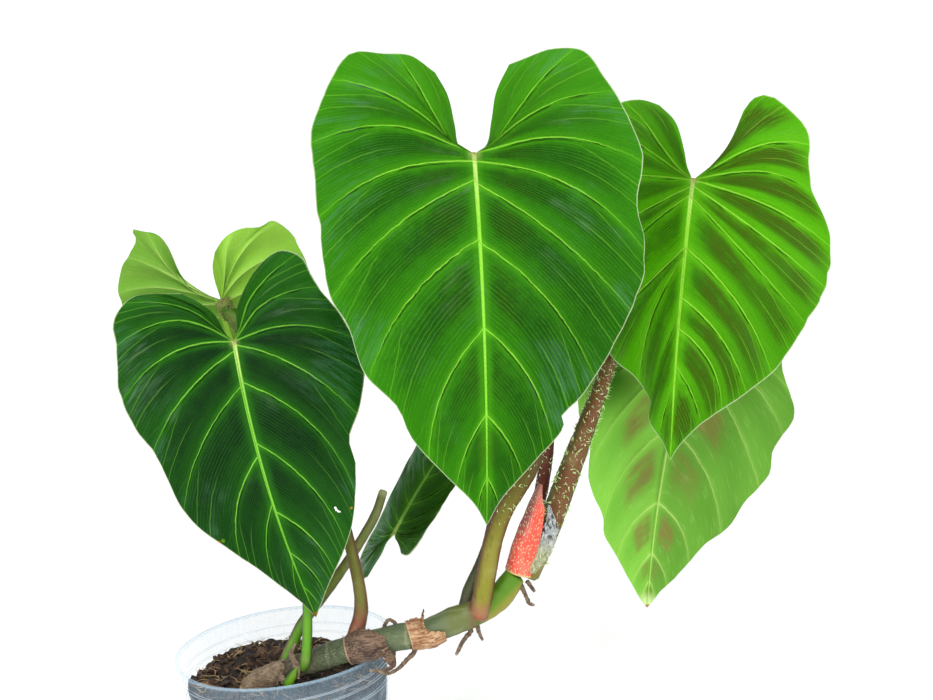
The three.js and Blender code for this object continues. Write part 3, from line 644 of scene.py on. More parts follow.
class Blade:
    """A leaf's blade as a function of its grid: out from the midrib, and cell over the veins."""

    def __init__(self, leaf, sizes):
        self.leaf = leaf
        self.sizes = sizes
        self.base = np.array(leaf["base"], float)
        down = np.array(leaf["tip"], float) - self.base
        self.length = np.linalg.norm(down)
        self.down = unit(down)
        face = unit(leaf["face"])
        self.face = unit(face - self.down * face.dot(self.down))
        self.right = np.cross(self.face, self.down)
        self.halves = {}
        for side in ("left", "right"):
            half = leaf[side]
            corner = half["notch"][-1]
            self.halves[side] = {
                "rows": np.array([(0, 0, 0), *half["veins"], (1, 1, 0)]),
                "notch": Track([(0, 0), *half["notch"]]),
                "margin": Track([corner, *half["margin"], (0, self.length)]),
                "corner": np.array(corner, float),
                "width": max(across for across, _ in half["margin"]),
            }

    def plan(self, half, out, cell):
        """Flat place of points of one half, and the length of their vein."""
        starts, ends, bows = (along(column, cell / CELLS) for column in half["rows"].T)
        start = np.stack([np.zeros_like(starts), starts * self.length], -1)
        chord = half["margin"].at(ends) - start
        bow = bows * 4 * out * (1 - out)
        flat = start + chord * out[:, None]
        flat += np.stack([bow * chord[:, 1], -bow * chord[:, 0]], -1)
        pull = np.clip(1 - cell / NOTCH_REACH, 0, 1)[:, None]
        flat += (half["notch"].at(out) - half["corner"] * out[:, None]) * pull
        return flat, np.linalg.norm(chord, axis=1)

    def shape(self, x, y, lower):
        """Points and layers of the blade's grid, whose rows crowd towards the veins."""
        turn = y * CELLS
        cell = np.floor(turn) + (turn % 1) - 0.5 * np.sin(FULL_TURN * turn) / FULL_TURN
        out = np.abs(x) ** CROWDING
        points = np.zeros((len(x), 3))
        layers = np.zeros((len(BLADE_LAYERS), len(x)))
        for side, sign, mask in (("left", -1, x < 0), ("right", 1, x >= 0)):
            points[mask], layers[:, mask] = self.half_shape(side, sign, out[mask], cell[mask], lower[mask])
        layers[BLADE_LAYERS.index("side")] = x
        return points, layers

    def half_shape(self, side, sign, out, cell, lower):
        """Points and layers of one half, where sign is the way that it lies from the midrib."""
        leaf = self.leaf
        half = self.halves[side]
        flat, reach = self.plan(half, out, cell)
        first = np.floor(cell + EPSILON)
        above, _ = self.plan(half, out, first)
        below, _ = self.plan(half, out, np.minimum(first + 1, CELLS))
        phase = (cell + EPSILON) % 1
        gap = np.linalg.norm(below - above, axis=1)
        vein = np.minimum(phase, 1 - phase) * gap
        seed = self.base[0] + 40 * sign
        ripple = np.array([noise.fractal(Vector((c * 1.3, seed, 2)), 0.8, 2, 3) for c in cell])
        flutter = np.array([noise.noise(Vector((c * 2.1, seed, 7))) for c in cell])
        across = flat[:, 0] * (1 + RIPPLE * ripple * out ** 5)
        down = flat[:, 1]
        share = down / self.length
        inside = np.clip(share, 0, 1)
        calm = np.minimum(1, reach / CALM_CHORD)
        arc = 4 * out * (1 - out)
        swell = np.abs(np.sin(math.pi * cell))
        lift = (leaf["arch"] * 4 * share * (1 - share)
                + leaf[side]["fold"] * across
                - leaf[side]["droop"] * (across / half["width"]) ** 2
                + calm * leaf["wave"] * out ** 3 * np.sin(FULL_TURN * WAVES * cell / CELLS)
                + calm * leaf["quilt"] * swell * arc
                + calm * FLUTTER * flutter * out ** 5)
        shift = leaf["bend"] * 4 * inside * (1 - inside) * (1 - out)
        midrib = np.exp(-(across / (MIDRIB_WIDTH - MIDRIB_TAPER * inside)) ** 2)
        side_vein = np.exp(-(vein / VEIN_WIDTH) ** 2)
        rib = (self.sizes.rib / MM * np.maximum(0, 1 - inside) * midrib
               + calm * self.sizes.side_vein / MM * side_vein * (1 - out) ** 0.5 * arc)
        groove = np.exp(-(vein / GROOVE_WIDTH) ** 2)
        sunk = GROOVE_DEPTH * calm * groove * arc + GROOVE_DEPTH * midrib
        bottom = self.sizes.blade / MM + rib
        points = (self.base
                  + self.right * (sign * across + shift)[:, None]
                  + self.down * down[:, None]
                  + self.face * (lift - sunk * (1 - out) - np.where(lower, bottom, 0))[:, None])
        layers = np.array([gap, across, (1 - out) * reach, cell, out, share, out, 1.0 - lower])
        return points, layers


# Tones and habits of the leaves. On the upper face, mid turns deep in the panels by depth, and margin
# outwards by light; glow lies along the veins as far as halo, and on the lobes by lobes, as painted
# light where they fold; tail lightens the tip; strands are fine lines beside the veins, and veins their
# strength. stain adds maroon over a band out from the midrib, and lean keeps it to one half. gloss adds
# grey sheen, a painted highlight in the colour as well as coat, haze adds painted sheen on one half, and
# painted_shade (sign, strength) is painted shade over the lower outer part of one half. On the underside,
# tint (strength, tone) changes the left half, and on leaf_rear it is painted light over the half that the
# leaves before it shade; spine is the width of the pale midrib. edging is the pale line along the margin,
# and spots_and_shadow are blemishes (centre, radius, tone) in millimetres, but the widest one of leaf_low
# is a painted shadow of the leaf before it.
PLAIN_LOOK = {
    "halo": 3.6, "lobes": 0, "tail": 0, "tint": (0, "#000000"), "spine": 0, "painted_shade": (1, 0), "light": 0.5,
    "strands": 0.2, "stain": 0, "band": (0, 1), "lean": 0, "haze": 0, "rough": 0.42, "spots_and_shadow": [],
}
LEAF_LOOKS = {
    "leaf_big": {
        "mid": "#246603", "deep": "#0c3a02", "margin": "#398a0a", "glow": "#48980f", "vein": "#86ca3a",
        "sheen": "#44785a", "under": "#79b848", "under_deep": "#5c9a30", "depth": 0.88, "light": 0.32,
        "veins": 0.9, "halo": 4.2, "lobes": 0.4, "tail": 0.1, "strands": 0.4, "stain": 0.12,
        "band": (0.03, 0.3), "edging": 0.6, "gloss": 0.6, "painted_shade": (1, 0.6),
        "spots_and_shadow": [((103.1, -61.2, 322.3), 0.9, "#dfe8c8")],
    },
    "leaf_front": {
        "mid": "#123e0b", "deep": "#041c0a", "margin": "#1c580c", "glow": "#2c7412", "vein": "#7cc03e",
        "sheen": "#32644a", "under": "#5f9a45", "under_deep": "#3f7a2c", "depth": 0.82, "veins": 0.92,
        "halo": 4.4, "lobes": 0.45, "tail": 0.5, "strands": 0.34, "edging": 0.7, "gloss": 0.72, "haze": 0.55,
        "rough": 0.46, "painted_shade": (-1, 0.45),
        "spots_and_shadow": [((41.2, -46.6, 193.0), 0.8, "#eef2ee"), ((41.6, -46.6, 191.9), 0.8, "#eef2ee"),
            ((42.4, -46.6, 191.0), 0.7, "#eef2ee"), ((43.2, -46.6, 190.6), 0.5, "#eef2ee"),
            ((-19.5, -50.6, 182.7), 1.5, "#b57a2c"), ((-17.0, -50.6, 183.6), 1.6, "#4a7a14"),
            ((24.7, -49.9, 137.8), 2.6, "#8a6a1c"), ((-38.6, -46.9, 205.3), 1.5, "#8a4a30"),
            ((49.4, -45.2, 191.4), 1.2, "#8f7a2a")],
    },
    "leaf_right": {
        "mid": "#439002", "deep": "#235802", "margin": "#509c08", "glow": "#5cae10", "vein": "#90d23c",
        "sheen": "#4a7a30", "under": "#8cc552", "under_deep": "#6ca63a", "depth": 0.85, "veins": 0.85,
        "halo": 6.5, "strands": 0.36, "stain": 0.42, "band": (0.09, 0.94), "lean": 1, "edging": 0.6,
        "gloss": 0.15, "haze": -0.6, "painted_shade": (1, 0.4),
    },
    "leaf_low": {
        "mid": "#2e7a14", "deep": "#1c5a0c", "margin": "#4a9a1c", "glow": "#57a524", "vein": "#8ac83c",
        "sheen": "#5f8a68", "under": "#7cba42", "under_deep": "#62a232", "depth": 0.7, "veins": 0.7,
        "stain": 1.0, "band": (0.04, 0.5), "edging": 0.2, "gloss": 0.2, "rough": 0.5,
        "tint": (0.75, "#54882c"),
        # The widest spot is a painted shadow of leaf_right, the leaf before it
        "spots_and_shadow": [((193.3, 28.3, 224.3), 24.0, "#2f6008"), ((202.4, 42.2, 90.0), 8.5, "#c0d890"),
            ((202.4, 42.2, 87.4), 2.8, "#9a5f42")],
    },
    "leaf_rear": {
        "mid": "#357d1d", "deep": "#1f5f14", "margin": "#4a9426", "glow": "#57a524", "vein": "#8ac83c",
        "sheen": "#5f8a68", "under": "#6c9e36", "under_deep": "#649434", "depth": 0.7, "veins": 0.5,
        "stain": 0.12, "band": (0.5, 0.95), "edging": 0.0, "gloss": 0.2, "rough": 0.5,
        # Its tint is painted light over the half that the leaves before it shade
        "tint": (0.8, "#94c846"), "spine": 4.2,
        "spots_and_shadow": [((-47.7, -3.9, 342), 3.0, "#2d4a1c")],
    },
    "leaf_small": {
        "mid": "#265408", "deep": "#173c06", "margin": "#33690f", "glow": "#3b7516", "vein": "#7aae46",
        "sheen": "#5f8a6a", "under": "#6c9a52", "under_deep": "#4f8038", "depth": 0.6, "light": 0.6,
        "veins": 0.5, "edging": 0.9, "gloss": 0.9, "haze": 1.3, "painted_shade": (1, 0.3),
    },
}


def leaf_finish(name, look, colours):
    """The velvet of a leaf, from the panels between its veins to its underside and its margin."""
    f = Finish(name + "_velvet")
    gap, rib, edge, cell, out, share, side, upper = (f.read(layer) for layer in BLADE_LAYERS)
    patch, mottle, fine = f.cloud(24, 3), f.cloud(190, 4), f.cloud(900, 3)
    streak = f.weave(cell * 7, out * 2.4, side * 0.6, 4)
    brush = f.weave(cell * 16, out * 6, side + 4, 4)
    phase = (cell + mottle * 0.05 - 0.025).fraction()
    off = abs(phase - 0.5)
    vein = (0.5 - off) * gap
    real = cell.rise(0.3, 0.7) * cell.fall(CELLS - 0.7, CELLS - 0.3)

    # The panels between the veins, with maroon bands and fine strands
    panel = abs(phase - 0.42).fall(0.05, 0.5)
    inner = out.rise(0.0, 0.14) * out.fall(0.7, 1.1)
    shade = panel * inner * (patch * 1.1 + 0.2) + (streak - 0.5) * 1.1 + (mottle - 0.5) * 0.7
    shade = (shade + (fine - 0.5) * 0.3).rise(0.0, 0.95)
    light = (out * 0.6 + streak * 0.7 + patch * 0.4 - 0.5 + (fine - 0.5) * 0.3).rise(0.25, 0.95)
    glow = vein.fall(0.2, look["halo"]) * (1 - out * 0.5) * real
    soft = streak * 0.5 + 0.6
    color = f.coats(
        look["mid"],
        (shade * look["depth"], look["deep"]),
        (light * look["light"], look["margin"]),
        (glow * 0.5 + rib.fall(0.5, 5.0) * 0.4, look["glow"]),
        # Painted light on the lobes where they fold
        (cell.fall(0.8, 3.4) * soft * look["lobes"], look["glow"]),
        (share.rise(0.4, 0.95) * soft * look["tail"], look["margin"]))
    low, high = look["band"]
    stain = out.rise(low, low + 0.14) * out.fall(high - 0.12, high + 0.1) * panel.rise(0.2, 0.85)
    stain = stain * (patch.rise(0.3, 0.55) * 0.6 + 0.4) * (streak * 0.8 + brush * 0.6).rise(0.35, 0.8)
    if look["lean"]:
        stain = stain * ((side * look["lean"]).rise(-0.05, 0.1) * 0.75 + 0.25)
        color = f.blend(stain * 0.85, color, "#245002")
    sign, painted_shade = look["painted_shade"]
    strand = abs((cell * 17 + mottle * 0.6).fraction() - 0.5).rise(0.3, 0.5)
    strand = strand * (streak + fine - 0.5).rise(0.25, 0.6)
    # Painted shadow in the groove on one side of each vein
    crease_shadow = vein.rise(0.3, 0.6) * vein.fall(1.0, 1.9) * phase.fall(0.3, 0.5) * brush.rise(0.42, 0.55)
    crease_shadow = crease_shadow * out.rise(0.04, 0.2) * out.fall(0.75, 0.95) * real
    color = f.coats(
        color,
        (stain * (brush.rise(0.3, 0.7) * 0.6 + 0.4) * look["stain"], colours.blotch),
        # Painted shade over the lower outer part of one half
        ((side * sign).rise(0.25, 0.95) * share.rise(0.1, 0.5) * painted_shade, look["deep"]),
        (strand * look["strands"], look["glow"]),
        # The painted groove shadow
        (crease_shadow * 0.7, "#061c08"))

    # Sheen, painted into the colour as a highlight and also set as coat, and the veins over it
    bare = f.cloud(30, 2, shift=(5, 2, 1)).rise(0.45, 0.62)
    sheen = (streak * 0.6 + brush * 0.8 - 0.2).rise(0.38, 0.72)
    sheen = sheen * bare * (out.rise(0.3, 0.9) * 0.6 + 0.4) * look["gloss"]
    # haze paints pale sheen, a painted highlight, on one half
    if look["haze"]:
        haze = (side * look["haze"]).rise(0.1, 1.2) * (streak * 0.5 + brush * 0.5).rise(0.34, 0.62)
        sheen = sheen + haze * abs(look["haze"])
    line = vein.fall(0.1, 0.7 - out * 0.25) * (1 - out.rise(0.3, 1.1) * 0.7) * real
    between = (off * gap).fall(0.1, 0.7) * out.rise(0.35, 0.7) * 0.3
    fork = abs(phase - (out - 0.5) * (1.5 - out) * 1.1) * gap
    rejoin = abs(phase - 1 + (out - 0.68) * 0.7) * gap
    marks = line + between
    marks = marks + fork.fall(0.1, 0.6) * out.rise(0.54, 0.7) * 0.32
    marks = marks + rejoin.fall(0.1, 0.55) * out.rise(0.72, 0.84) * 0.14
    core = rib.fall(0.7 - share * 0.6, 1.35 - share)
    pale = f.blend(share.rise(-0.02, 0.2), colours.vein_foot, look["vein"])
    color = f.coats(
        color,
        # Painted sheen in the leaf's sheen tone
        (sheen.rise(0.0, 1.2) * 0.55, look["sheen"]),
        (marks.rise(0.0, 1.0) * (streak * 0.5 + 0.65) * look["veins"], look["vein"]),
        (core * (look["veins"] * 0.5 + 0.5), pale),
        (share.fall(0.0, 0.025) * out.fall(0.01, 0.05) * 0.45, "#b5b270"))

    # Underside, margin, blemishes and a painted shadow
    strength, tint = look["tint"]
    under = f.coats(
        look["under"],
        (panel * inner * (patch + 0.2), look["under_deep"]),
        # On leaf_rear this lighter tone is painted light over the half that the leaves before it shade
        ((0.2 - side).rise(0.0, 0.5) * strength, tint),
        (stain * look["stain"] * 0.85, "#7d6a3c"),
        ((glow * 0.35 + line * 0.5 + between * 0.4 + core).rise(0.0, 1.0) * 0.7, colours.vein_foot),
        (rib.fall(look["spine"] * 0.6, look["spine"] + 0.1), "#a2d04e"),
        ((brush - 0.5).rise(0.0, 0.4) * 0.25, "#a9d47a"))
    color = f.coats(
        under,
        (upper, color),
        (edge.fall(0.15, 0.75) * (streak * 0.6 + 0.5) * look["edging"], colours.edging),
        # Blemishes, and on leaf_low a painted shadow
        *((f.blemish_and_shadow(centre, radius), code) for centre, radius, code in look["spots_and_shadow"]))
    relief = (strand * 0.3 + mottle * 0.6 + line * 0.8 + brush * 1.3 - crease_shadow * 0.8) * upper + fine * 0.6
    return f.done(
        Base_Color=color, Roughness=mottle * 0.2 + (look["rough"] - 0.1), Coat_Weight=sheen * 0.5,
        Normal=f.bump(relief, 0.0005), Specular_IOR_Level=0.05, Coat_Roughness=0.27)


class PLANT_OT_leaves(bpy.types.Operator):
    """Six heart-shaped leaves with quilted panels, sunken veins and ribs under them"""
    bl_idname = "plant.leaves"
    bl_label = "Leaves"

    def execute(self, context):
        sizes, colours = context.scene.plant_sizes, context.scene.plant_colours
        for name, leaf in LEAVES.items():
            blade = Blade(leaf, sizes)
            bm = thick_sheet(BLADE_COLUMNS, CELLS * CELL_ROWS, blade.shape, BLADE_LAYERS)
            finish = leaf_finish(name, {**PLAIN_LOOK, **LEAF_LOOKS[name]}, colours)
            finish_piece(name + "_blade", bm, finish, [name])
        return {"FINISHED"}


# Stem and leaf stalks

# Front is the side towards the viewer, flank the sides, whose tone is partly the stalk's own colour and
# partly painted shade that rounds it; low, high and end are stretches from the foot up, where low fades
# out at reach and high starts at level; speck is the strength of pale dots
StalkLook = namedtuple("StalkLook", "front flank low high end reach level speck")
STALK_LOOKS = {
    "petiole_big": StalkLook("#7f7c22", "#542618", "#8e4c3a", "#432516", "#98884e", 0.05, 0.1, 0.2),
    "petiole_front": StalkLook("#646624", "#5a3020", "#7a4030", "#56602e", "#a0a850", 0.14, 0.5, 0.1),
    # The darker high stretch here is a painted shadow of leaf_big over the stalk
    "petiole_right": StalkLook("#6c4426", "#4c4a18", "#7c7434", "#3c2616", "#98884e", 0.07, 0.5, 0.3),
    "petiole_low": StalkLook("#5e281c", "#40201a", "#5a2c20", "#3c241a", "#98884e", 0.1, 0.5, 0.3),
    "petiole_rear": StalkLook("#5c9420", "#335f10", "#4c8214", "#6d8a34", "#76803e", 0.1, 0.6, 0.1),
    "petiole_small": StalkLook("#4c5030", "#30341f", "#4a4430", "#5f6a3c", "#98884e", 0.1, 0.5, 0.3),
    "petiole_cut": StalkLook("#5f6e24", "#4a3c20", "#4f8a18", "#6a7440", "#8c9064", 0.42, 0.6, 0.1),
    "shoot_bud": StalkLook("#5c8a12", "#35600c", "#4c7810", "#5f8420", "#5f8420", 0.1, 0.5, 0.0),
}


def stalk_finish(name, look):
    f = Finish(name + "_skin")
    run, front = (f.read(layer) for layer in LIMB_LAYERS)
    streak = f.cloud(420, 3, stretch=(1, 1, 0.12))
    patch = f.cloud(60, 3)
    lengthwise = f.coats(
        look.front,
        (run.fall(look.reach * 0.4, look.reach) * 0.9, look.low),
        (run.rise(look.level, look.level + 0.3) * 0.9, look.high))
    color = f.coats(
        look.flank,
        # Sides turned from the viewer take the flank tone: partly their own colour, partly painted shade
        ((front + streak * 0.5 - 0.25).rise(0.3, 1.0), lengthwise),
        (streak.rise(0.5, 0.8) * 0.35, "#2c2014"),
        (patch.rise(0.5, 0.75) * 0.2, "#b9b07a"),
        (f.dots(900, 0.1, 0.22) * look.speck, "#b5c48a"),
        (run.rise(0.955, 0.985), look.end))
    relief = streak * 0.6 + f.cloud(1800, 2) * 0.4
    return f.done(Base_Color=color, Roughness=streak * 0.25 + 0.36, Specular_IOR_Level=0.25,
                  Normal=f.bump(relief, 0.0004))


# Scars of the stem's joints: how far along they lie, their strength and their tone
SCARS = [(0.0262, 0.35, "#9a9270"), (0.0690, 0.35, "#9a9270"), (0.1035, 0.8, "#6e3f30")]


def stem_finish():
    f = Finish("stem_skin")
    front = f.read("front")
    x, z = f.axis("X"), f.axis("Z")
    streak = f.cloud(300, 4, stretch=(0.18, 1, 0.5))
    bark = f.cloud(260, 5, stretch=(0.6, 1, 1))
    crack = f.net(900, 0.12, stretch=(0.35, 1, 1))
    woody = x.fall(0.004, 0.026)
    ripe = x.fall(0.1, 0.11)
    lower = (z - x * 0.75).fall(0.036, 0.043) * x.rise(0.108, 0.112)
    rough = f.blend(bark.rise(0.4, 0.62), "#44332a", "#94826a")
    color = f.coats(
        "#48553a",
        (x.rise(0.02, 0.05), "#4c5a3c"),
        (x.rise(0.084, 0.096), "#545c22"),
        (x.rise(0.106, 0.113), "#4e7a0c"),
        (lower * 0.85, "#8c8230"),
        (streak.rise(0.5, 0.8) * ripe * 0.45, "#8d9673"),
        *((abs(x + streak * 0.004 - place - 0.002).fall(0.0003, 0.0012) * strength, code)
          for place, strength, code in SCARS),
        (woody * (bark * 0.8 + 0.5), rough),
        (crack * x.fall(0.02, 0.07) * 0.5, "#3a2c1e"),
        # Painted highlight on the side that faces the viewer
        (front.rise(0.3, 1.0) * ripe * 0.1, "#a9b48c"))
    relief = streak * 0.7 + woody * bark * 1.5 + crack * x.fall(0.02, 0.1) * -0.6
    return f.done(Base_Color=color, Roughness=streak * 0.2 + 0.38, Specular_IOR_Level=0.3,
                  Normal=f.bump(relief, 0.0007))


def bristle_finish(name, base, light):
    f = Finish(name)
    color = f.blend(f.cloud(300, 2).rise(0.35, 0.65), base, light)
    return f.done(Base_Color=color, Roughness=0.6)


# A bristle's radius is this share of the usual length, and it starts this many millimetres deep
BRISTLE_SLIMNESS = 0.19
BRISTLE_ROOT = 0.1
BRISTLE_TAPER = 0.25
BRISTLE_CURL = 0.75
LAST_BRISTLE = 0.995
FIRST_SEED = 11


def curled_bristle(length, radius):
    """A tapering three-sided bristle, curled to one side."""
    bm = bmesh.new()
    bmesh.ops.create_cone(
        bm, cap_ends=True, segments=3, radius1=radius, radius2=radius * BRISTLE_TAPER, depth=length)
    tall = [e for e in bm.edges if abs(e.verts[0].co.z - e.verts[1].co.z) > length / 2]
    bmesh.ops.subdivide_edges(bm, edges=tall, cuts=3, use_grid_fill=True)
    for vert in bm.verts:
        share = vert.co.z / length + 0.5
        vert.co.z = share * length * (1 - 0.25 * share)
        vert.co.x += BRISTLE_CURL * length * share ** 2
    return bm


# How many bristles each stalk carries, over which stretch of its length, and how long they are,
# as a share of the usual length
BRISTLES = {
    "petiole_right": (1250, 0.04, 0.97, 1.3),
    "petiole_big": (680, 0.19, 0.97, 0.8),
    "petiole_low": (330, 0.08, 0.95, 1.0),
    "petiole_rear": (460, 0.88, 1.0, 0.7),
    "petiole_front": (70, 0.3, 0.95, 0.7),
    "petiole_small": (60, 0.1, 0.9, 0.6),
}


def add_bristles(name, track, radii, sizes, colours, seed):
    """Bristles that start just under a stalk's skin and point every way, outwards more than in."""
    count, low, high, size = BRISTLES[name]
    rng = random.Random(seed)
    bm = bmesh.new()
    template = curled_bristle(sizes.bristle * size, sizes.bristle * BRISTLE_SLIMNESS)
    for _ in range(count):
        share = min(rng.uniform(low, high), LAST_BRISTLE)
        way = unit(track.at(share + 0.005) - track.at(share - 0.005))
        turn = rng.uniform(0, FULL_TURN)
        side = unit(np.cross(way, (0.3, 0.2, 0.9)))
        out = side * math.cos(turn) + np.cross(way, side) * math.sin(turn)
        root = (track.at(share) + out * (along(radii, share) - BRISTLE_ROOT)) * MM
        aim = Vector(out) * 0.5 + Vector(way) * rng.uniform(-1, 1)
        aim += 0.8 * Vector([rng.uniform(-1, 1) for _ in range(3)])
        turned = aim.to_track_quat("Z", "X").to_matrix() @ Matrix.Rotation(rng.uniform(0, FULL_TURN), 3, "Z")
        lay = (turned * rng.uniform(0.6, 1.1)).to_4x4()
        add_copy(bm, template, Matrix.Translation(Vector(root)) @ lay)
    template.free()
    tones = ("#6f6c38", "#a3a268") if name == "petiole_rear" else (colours.bristle, "#d6e8ae")
    finish_piece(name + "_bristles", bm, bristle_finish(name + "_bristle", *tones), [])


def seat_stalk(bm, leaf, sizes):
    """Flattens a stalk's end against the underside of its leaf."""
    blade = Blade(leaf, sizes)
    base, face = Vector(blade.base) * MM, Vector(blade.face)
    depth = sizes.blade + sizes.rib + 0.0001
    for vert in bm.verts:
        rise = (vert.co - base).dot(face) + depth
        if rise > 0 and (vert.co - base).length < JOINT_REACH:
            vert.co -= face * rise


class PLANT_OT_stem(bpy.types.Operator):
    """The creeping stem, bark-like at its foot and green at its growing end"""
    bl_idname = "plant.stem"
    bl_label = "Stem"

    def execute(self, context):
        bm = bmesh.new()
        add_limb(bm, *STALKS["stem"], sides=36, steps=200, roughness=0.07)
        finish_piece("stem_skin", bm, stem_finish(), ["stem"])
        return {"FINISHED"}


class PLANT_OT_stalks(bpy.types.Operator):
    """Leaf stalks with their bristles, the cut stalk and the bud"""
    bl_idname = "plant.stalks"
    bl_label = "Leaf stalks"

    def execute(self, context):
        sizes, colours = context.scene.plant_sizes, context.scene.plant_colours
        for seed, (name, look) in enumerate(STALK_LOOKS.items(), FIRST_SEED):
            route, radii = STALKS[name]
            bm = bmesh.new()
            track = add_limb(bm, route, radii, steps=120, roughness=0.05)
            leaf = LEAVES.get(name.replace("petiole", "leaf"))
            if leaf:
                seat_stalk(bm, leaf, sizes)
            finish_piece(name + "_stalk", bm, stalk_finish(name, look), [name])
            if name in BRISTLES:
                add_bristles(name, track, radii, sizes, colours, seed)
        return {"FINISHED"}


# Sheaths

SHEATH_LAYERS = ("across", "along")


def sheath_mesh(husk, thickness, ragged, crumple, columns=40, rows=60):
    """A husk about its route, with a ragged edge and a crumpled face."""
    route, radii, spread, towards = husk
    track = Track(route)
    line = unit(np.array(route[-1], float) - np.array(route[0], float))
    front = unit(towards)
    front = unit(front - line * front.dot(line))
    side = np.cross(line, front)

    def shape(x, y, lower):
        places = [Vector((a * 2.2, b * 7, radii[0])) for a, b in zip(x, y)]
        rough = np.array([noise.fractal(place, 0.8, 2, 3) for place in places])
        bites = np.abs(np.array([noise.noise(Vector((b * 14, 3, 5))) for b in y]))
        turn = np.radians(along(spread, y)) * x * (1 - ragged * bites * np.abs(x) ** 3)
        away = along(radii, y) + crumple * rough - np.where(lower, thickness / MM, 0)
        points = (track.at(y)
                  + front * (np.cos(turn) * away)[:, None]
                  - side * (np.sin(turn) * away)[:, None])
        return points, np.array([x, y])

    return thick_sheet(columns, rows, shape, SHEATH_LAYERS)


def young_sheath_finish(colours):
    f = Finish("young_sheath_skin")
    across, run = (f.read(layer) for layer in SHEATH_LAYERS)
    soft = f.cloud(140, 3)
    streak = f.cloud(260, 3, stretch=(1, 1, 0.15))
    bumps = f.specks(across * 8, run * 18, 0.15, 0.25)
    flank = across.rise(-0.5, 0.05)
    color = f.coats(
        colours.young_sheath,
        (soft.rise(0.35, 0.7) * 0.6, "#ee7a62"),
        (flank * run.rise(0.25, 0.6) * 0.85, "#744447"),
        (run.rise(0.7, 0.95) * 0.8, "#9a6a60"),
        (run.fall(0.0, 0.035) * 0.8, "#b9c07a"),
        (streak.rise(0.5, 0.8) * 0.25, "#b03a2c"),
        (bumps * (flank * 0.35 + 0.6), "#f6e3b2"))
    relief = bumps * 1.2 + streak * 0.25
    return f.done(Base_Color=color, Roughness=soft * 0.2 + 0.32, Normal=f.bump(relief, 0.0006))


def clear_sheath_finish():
    f = Finish("clear_sheath_skin")
    run = f.read("along")
    fibre = f.cloud(900, 4, stretch=(1, 1, 0.35)).rise(0.54, 0.6)
    crumple = f.net(420, 0.2, stretch=(1, 1, 0.5))
    color = f.coats(
        "#c9cfd2",
        (fibre * run.rise(0.3, 0.6), "#3c3e3a"),
        (run.fall(0.25, 0.6) * 0.75, "#b4b878"))
    dense = (0.5 + fibre * 0.4 + crumple * 0.3).rise(0.0, 1.2)
    return f.done(Base_Color=color, Roughness=0.32, Alpha=dense, Normal=f.bump(crumple, 0.0008))


def dry_sheath_finish(name, base, light):
    f = Finish(name + "_skin")
    run = f.read("along")
    fibre = f.cloud(1500, 4, stretch=(0.1, 1, 0.8))
    patch = f.cloud(230, 3, stretch=(0.5, 1, 1))
    color = f.coats(
        base,
        ((fibre * 0.7 + patch * 0.4 - 0.05).rise(0.38, 0.68), light),
        (fibre.rise(0.56, 0.7) * 0.5, "#2e1a10"),
        (run.fall(0.0, 0.05) * 0.6, "#c9a885"))
    return f.done(Base_Color=color, Roughness=0.65, Normal=f.bump(fibre + patch * 0.6, 0.0009))


# Torn ends of the dry sheaths and a papery scrap, in the same way, each with the piece that it
# belongs to and the sheath whose finish it has
SCRAPS = {
    "brown_scrap": ("sheath_brown", "sheath_brown", (
        [(57, -47.5, 115.3), (59.1, -48.5, 111.1), (61, -49, 105)],
        [3.2, 3.6, 2.2], [50, 62, 30], (0.2, -1, -0.2))),
    "foot_scrap": ("stem", "sheath_strip_a", (
        [(-22, -8, 84.5), (-14, -10, 89.5), (-4, -14, 94), (5, -18.5, 99)],
        [5.9, 6.6, 7.1, 7, 6.6], [16, 74, 122, 84, 62, 14], (0, -0.75, 0.65))),
    "ring_spike": ("sheath_ring", "sheath_ring", (
        [(77, -44.8, 122.4), (77.9, -44, 127.5), (79.5, -43, 132.5)],
        [1.8, 1.3, 0.5], [50, 50, 30], (0.1, -1, 0))),
}


class PLANT_OT_sheaths(bpy.types.Operator):
    """The coral and clear sheaths of the next leaf, and the dry ones of old leaves"""
    bl_idname = "plant.sheaths"
    bl_label = "Sheaths"

    def execute(self, context):
        sizes, colours = context.scene.plant_sizes, context.scene.plant_colours
        strip = ("#5d4a38", "#a08c70")
        looks = {
            "sheath_red": (young_sheath_finish(colours), 0.0, 0.15),
            "sheath_clear": (clear_sheath_finish(), 0.3, 0.5),
            "sheath_brown": (dry_sheath_finish("sheath_brown", colours.husk, "#8a6e56"), 0.3, 0.45),
            "sheath_ring": (dry_sheath_finish("sheath_ring", "#7c4622", "#cfab80"), 0.35, 0.5),
            "sheath_strip_a": (dry_sheath_finish("sheath_strip_a", *strip), 0.3, 0.3),
            "sheath_strip_b": (dry_sheath_finish("sheath_strip_b", *strip), 0.3, 0.3),
        }
        for name, (finish, ragged, crumple) in looks.items():
            bm = sheath_mesh(SHEATHS[name], sizes.sheath, ragged, crumple)
            finish_piece(name + "_husk", bm, finish, [name])
        for name, (owner, kind, scrap) in SCRAPS.items():
            bm = sheath_mesh(scrap, sizes.sheath, ragged=0.7, crumple=0.9, columns=28, rows=40)
            finish_piece(name, bm, looks[kind][0], [])
        return {"FINISHED"}


# Roots

def root_finish(colours):
    f = Finish("root_skin")
    run = f.read("along")
    patch = f.cloud(500, 4)
    color = f.coats(
        colours.root,
        (patch.rise(0.35, 0.65), "#77644f"),
        (patch.rise(0.6, 0.8) * 0.8, "#33261d"),
        (run.rise(0.86, 1.0) * 0.6, "#a3907a"))
    return f.done(Base_Color=color, Roughness=0.8, Normal=f.bump(patch, 0.0007))


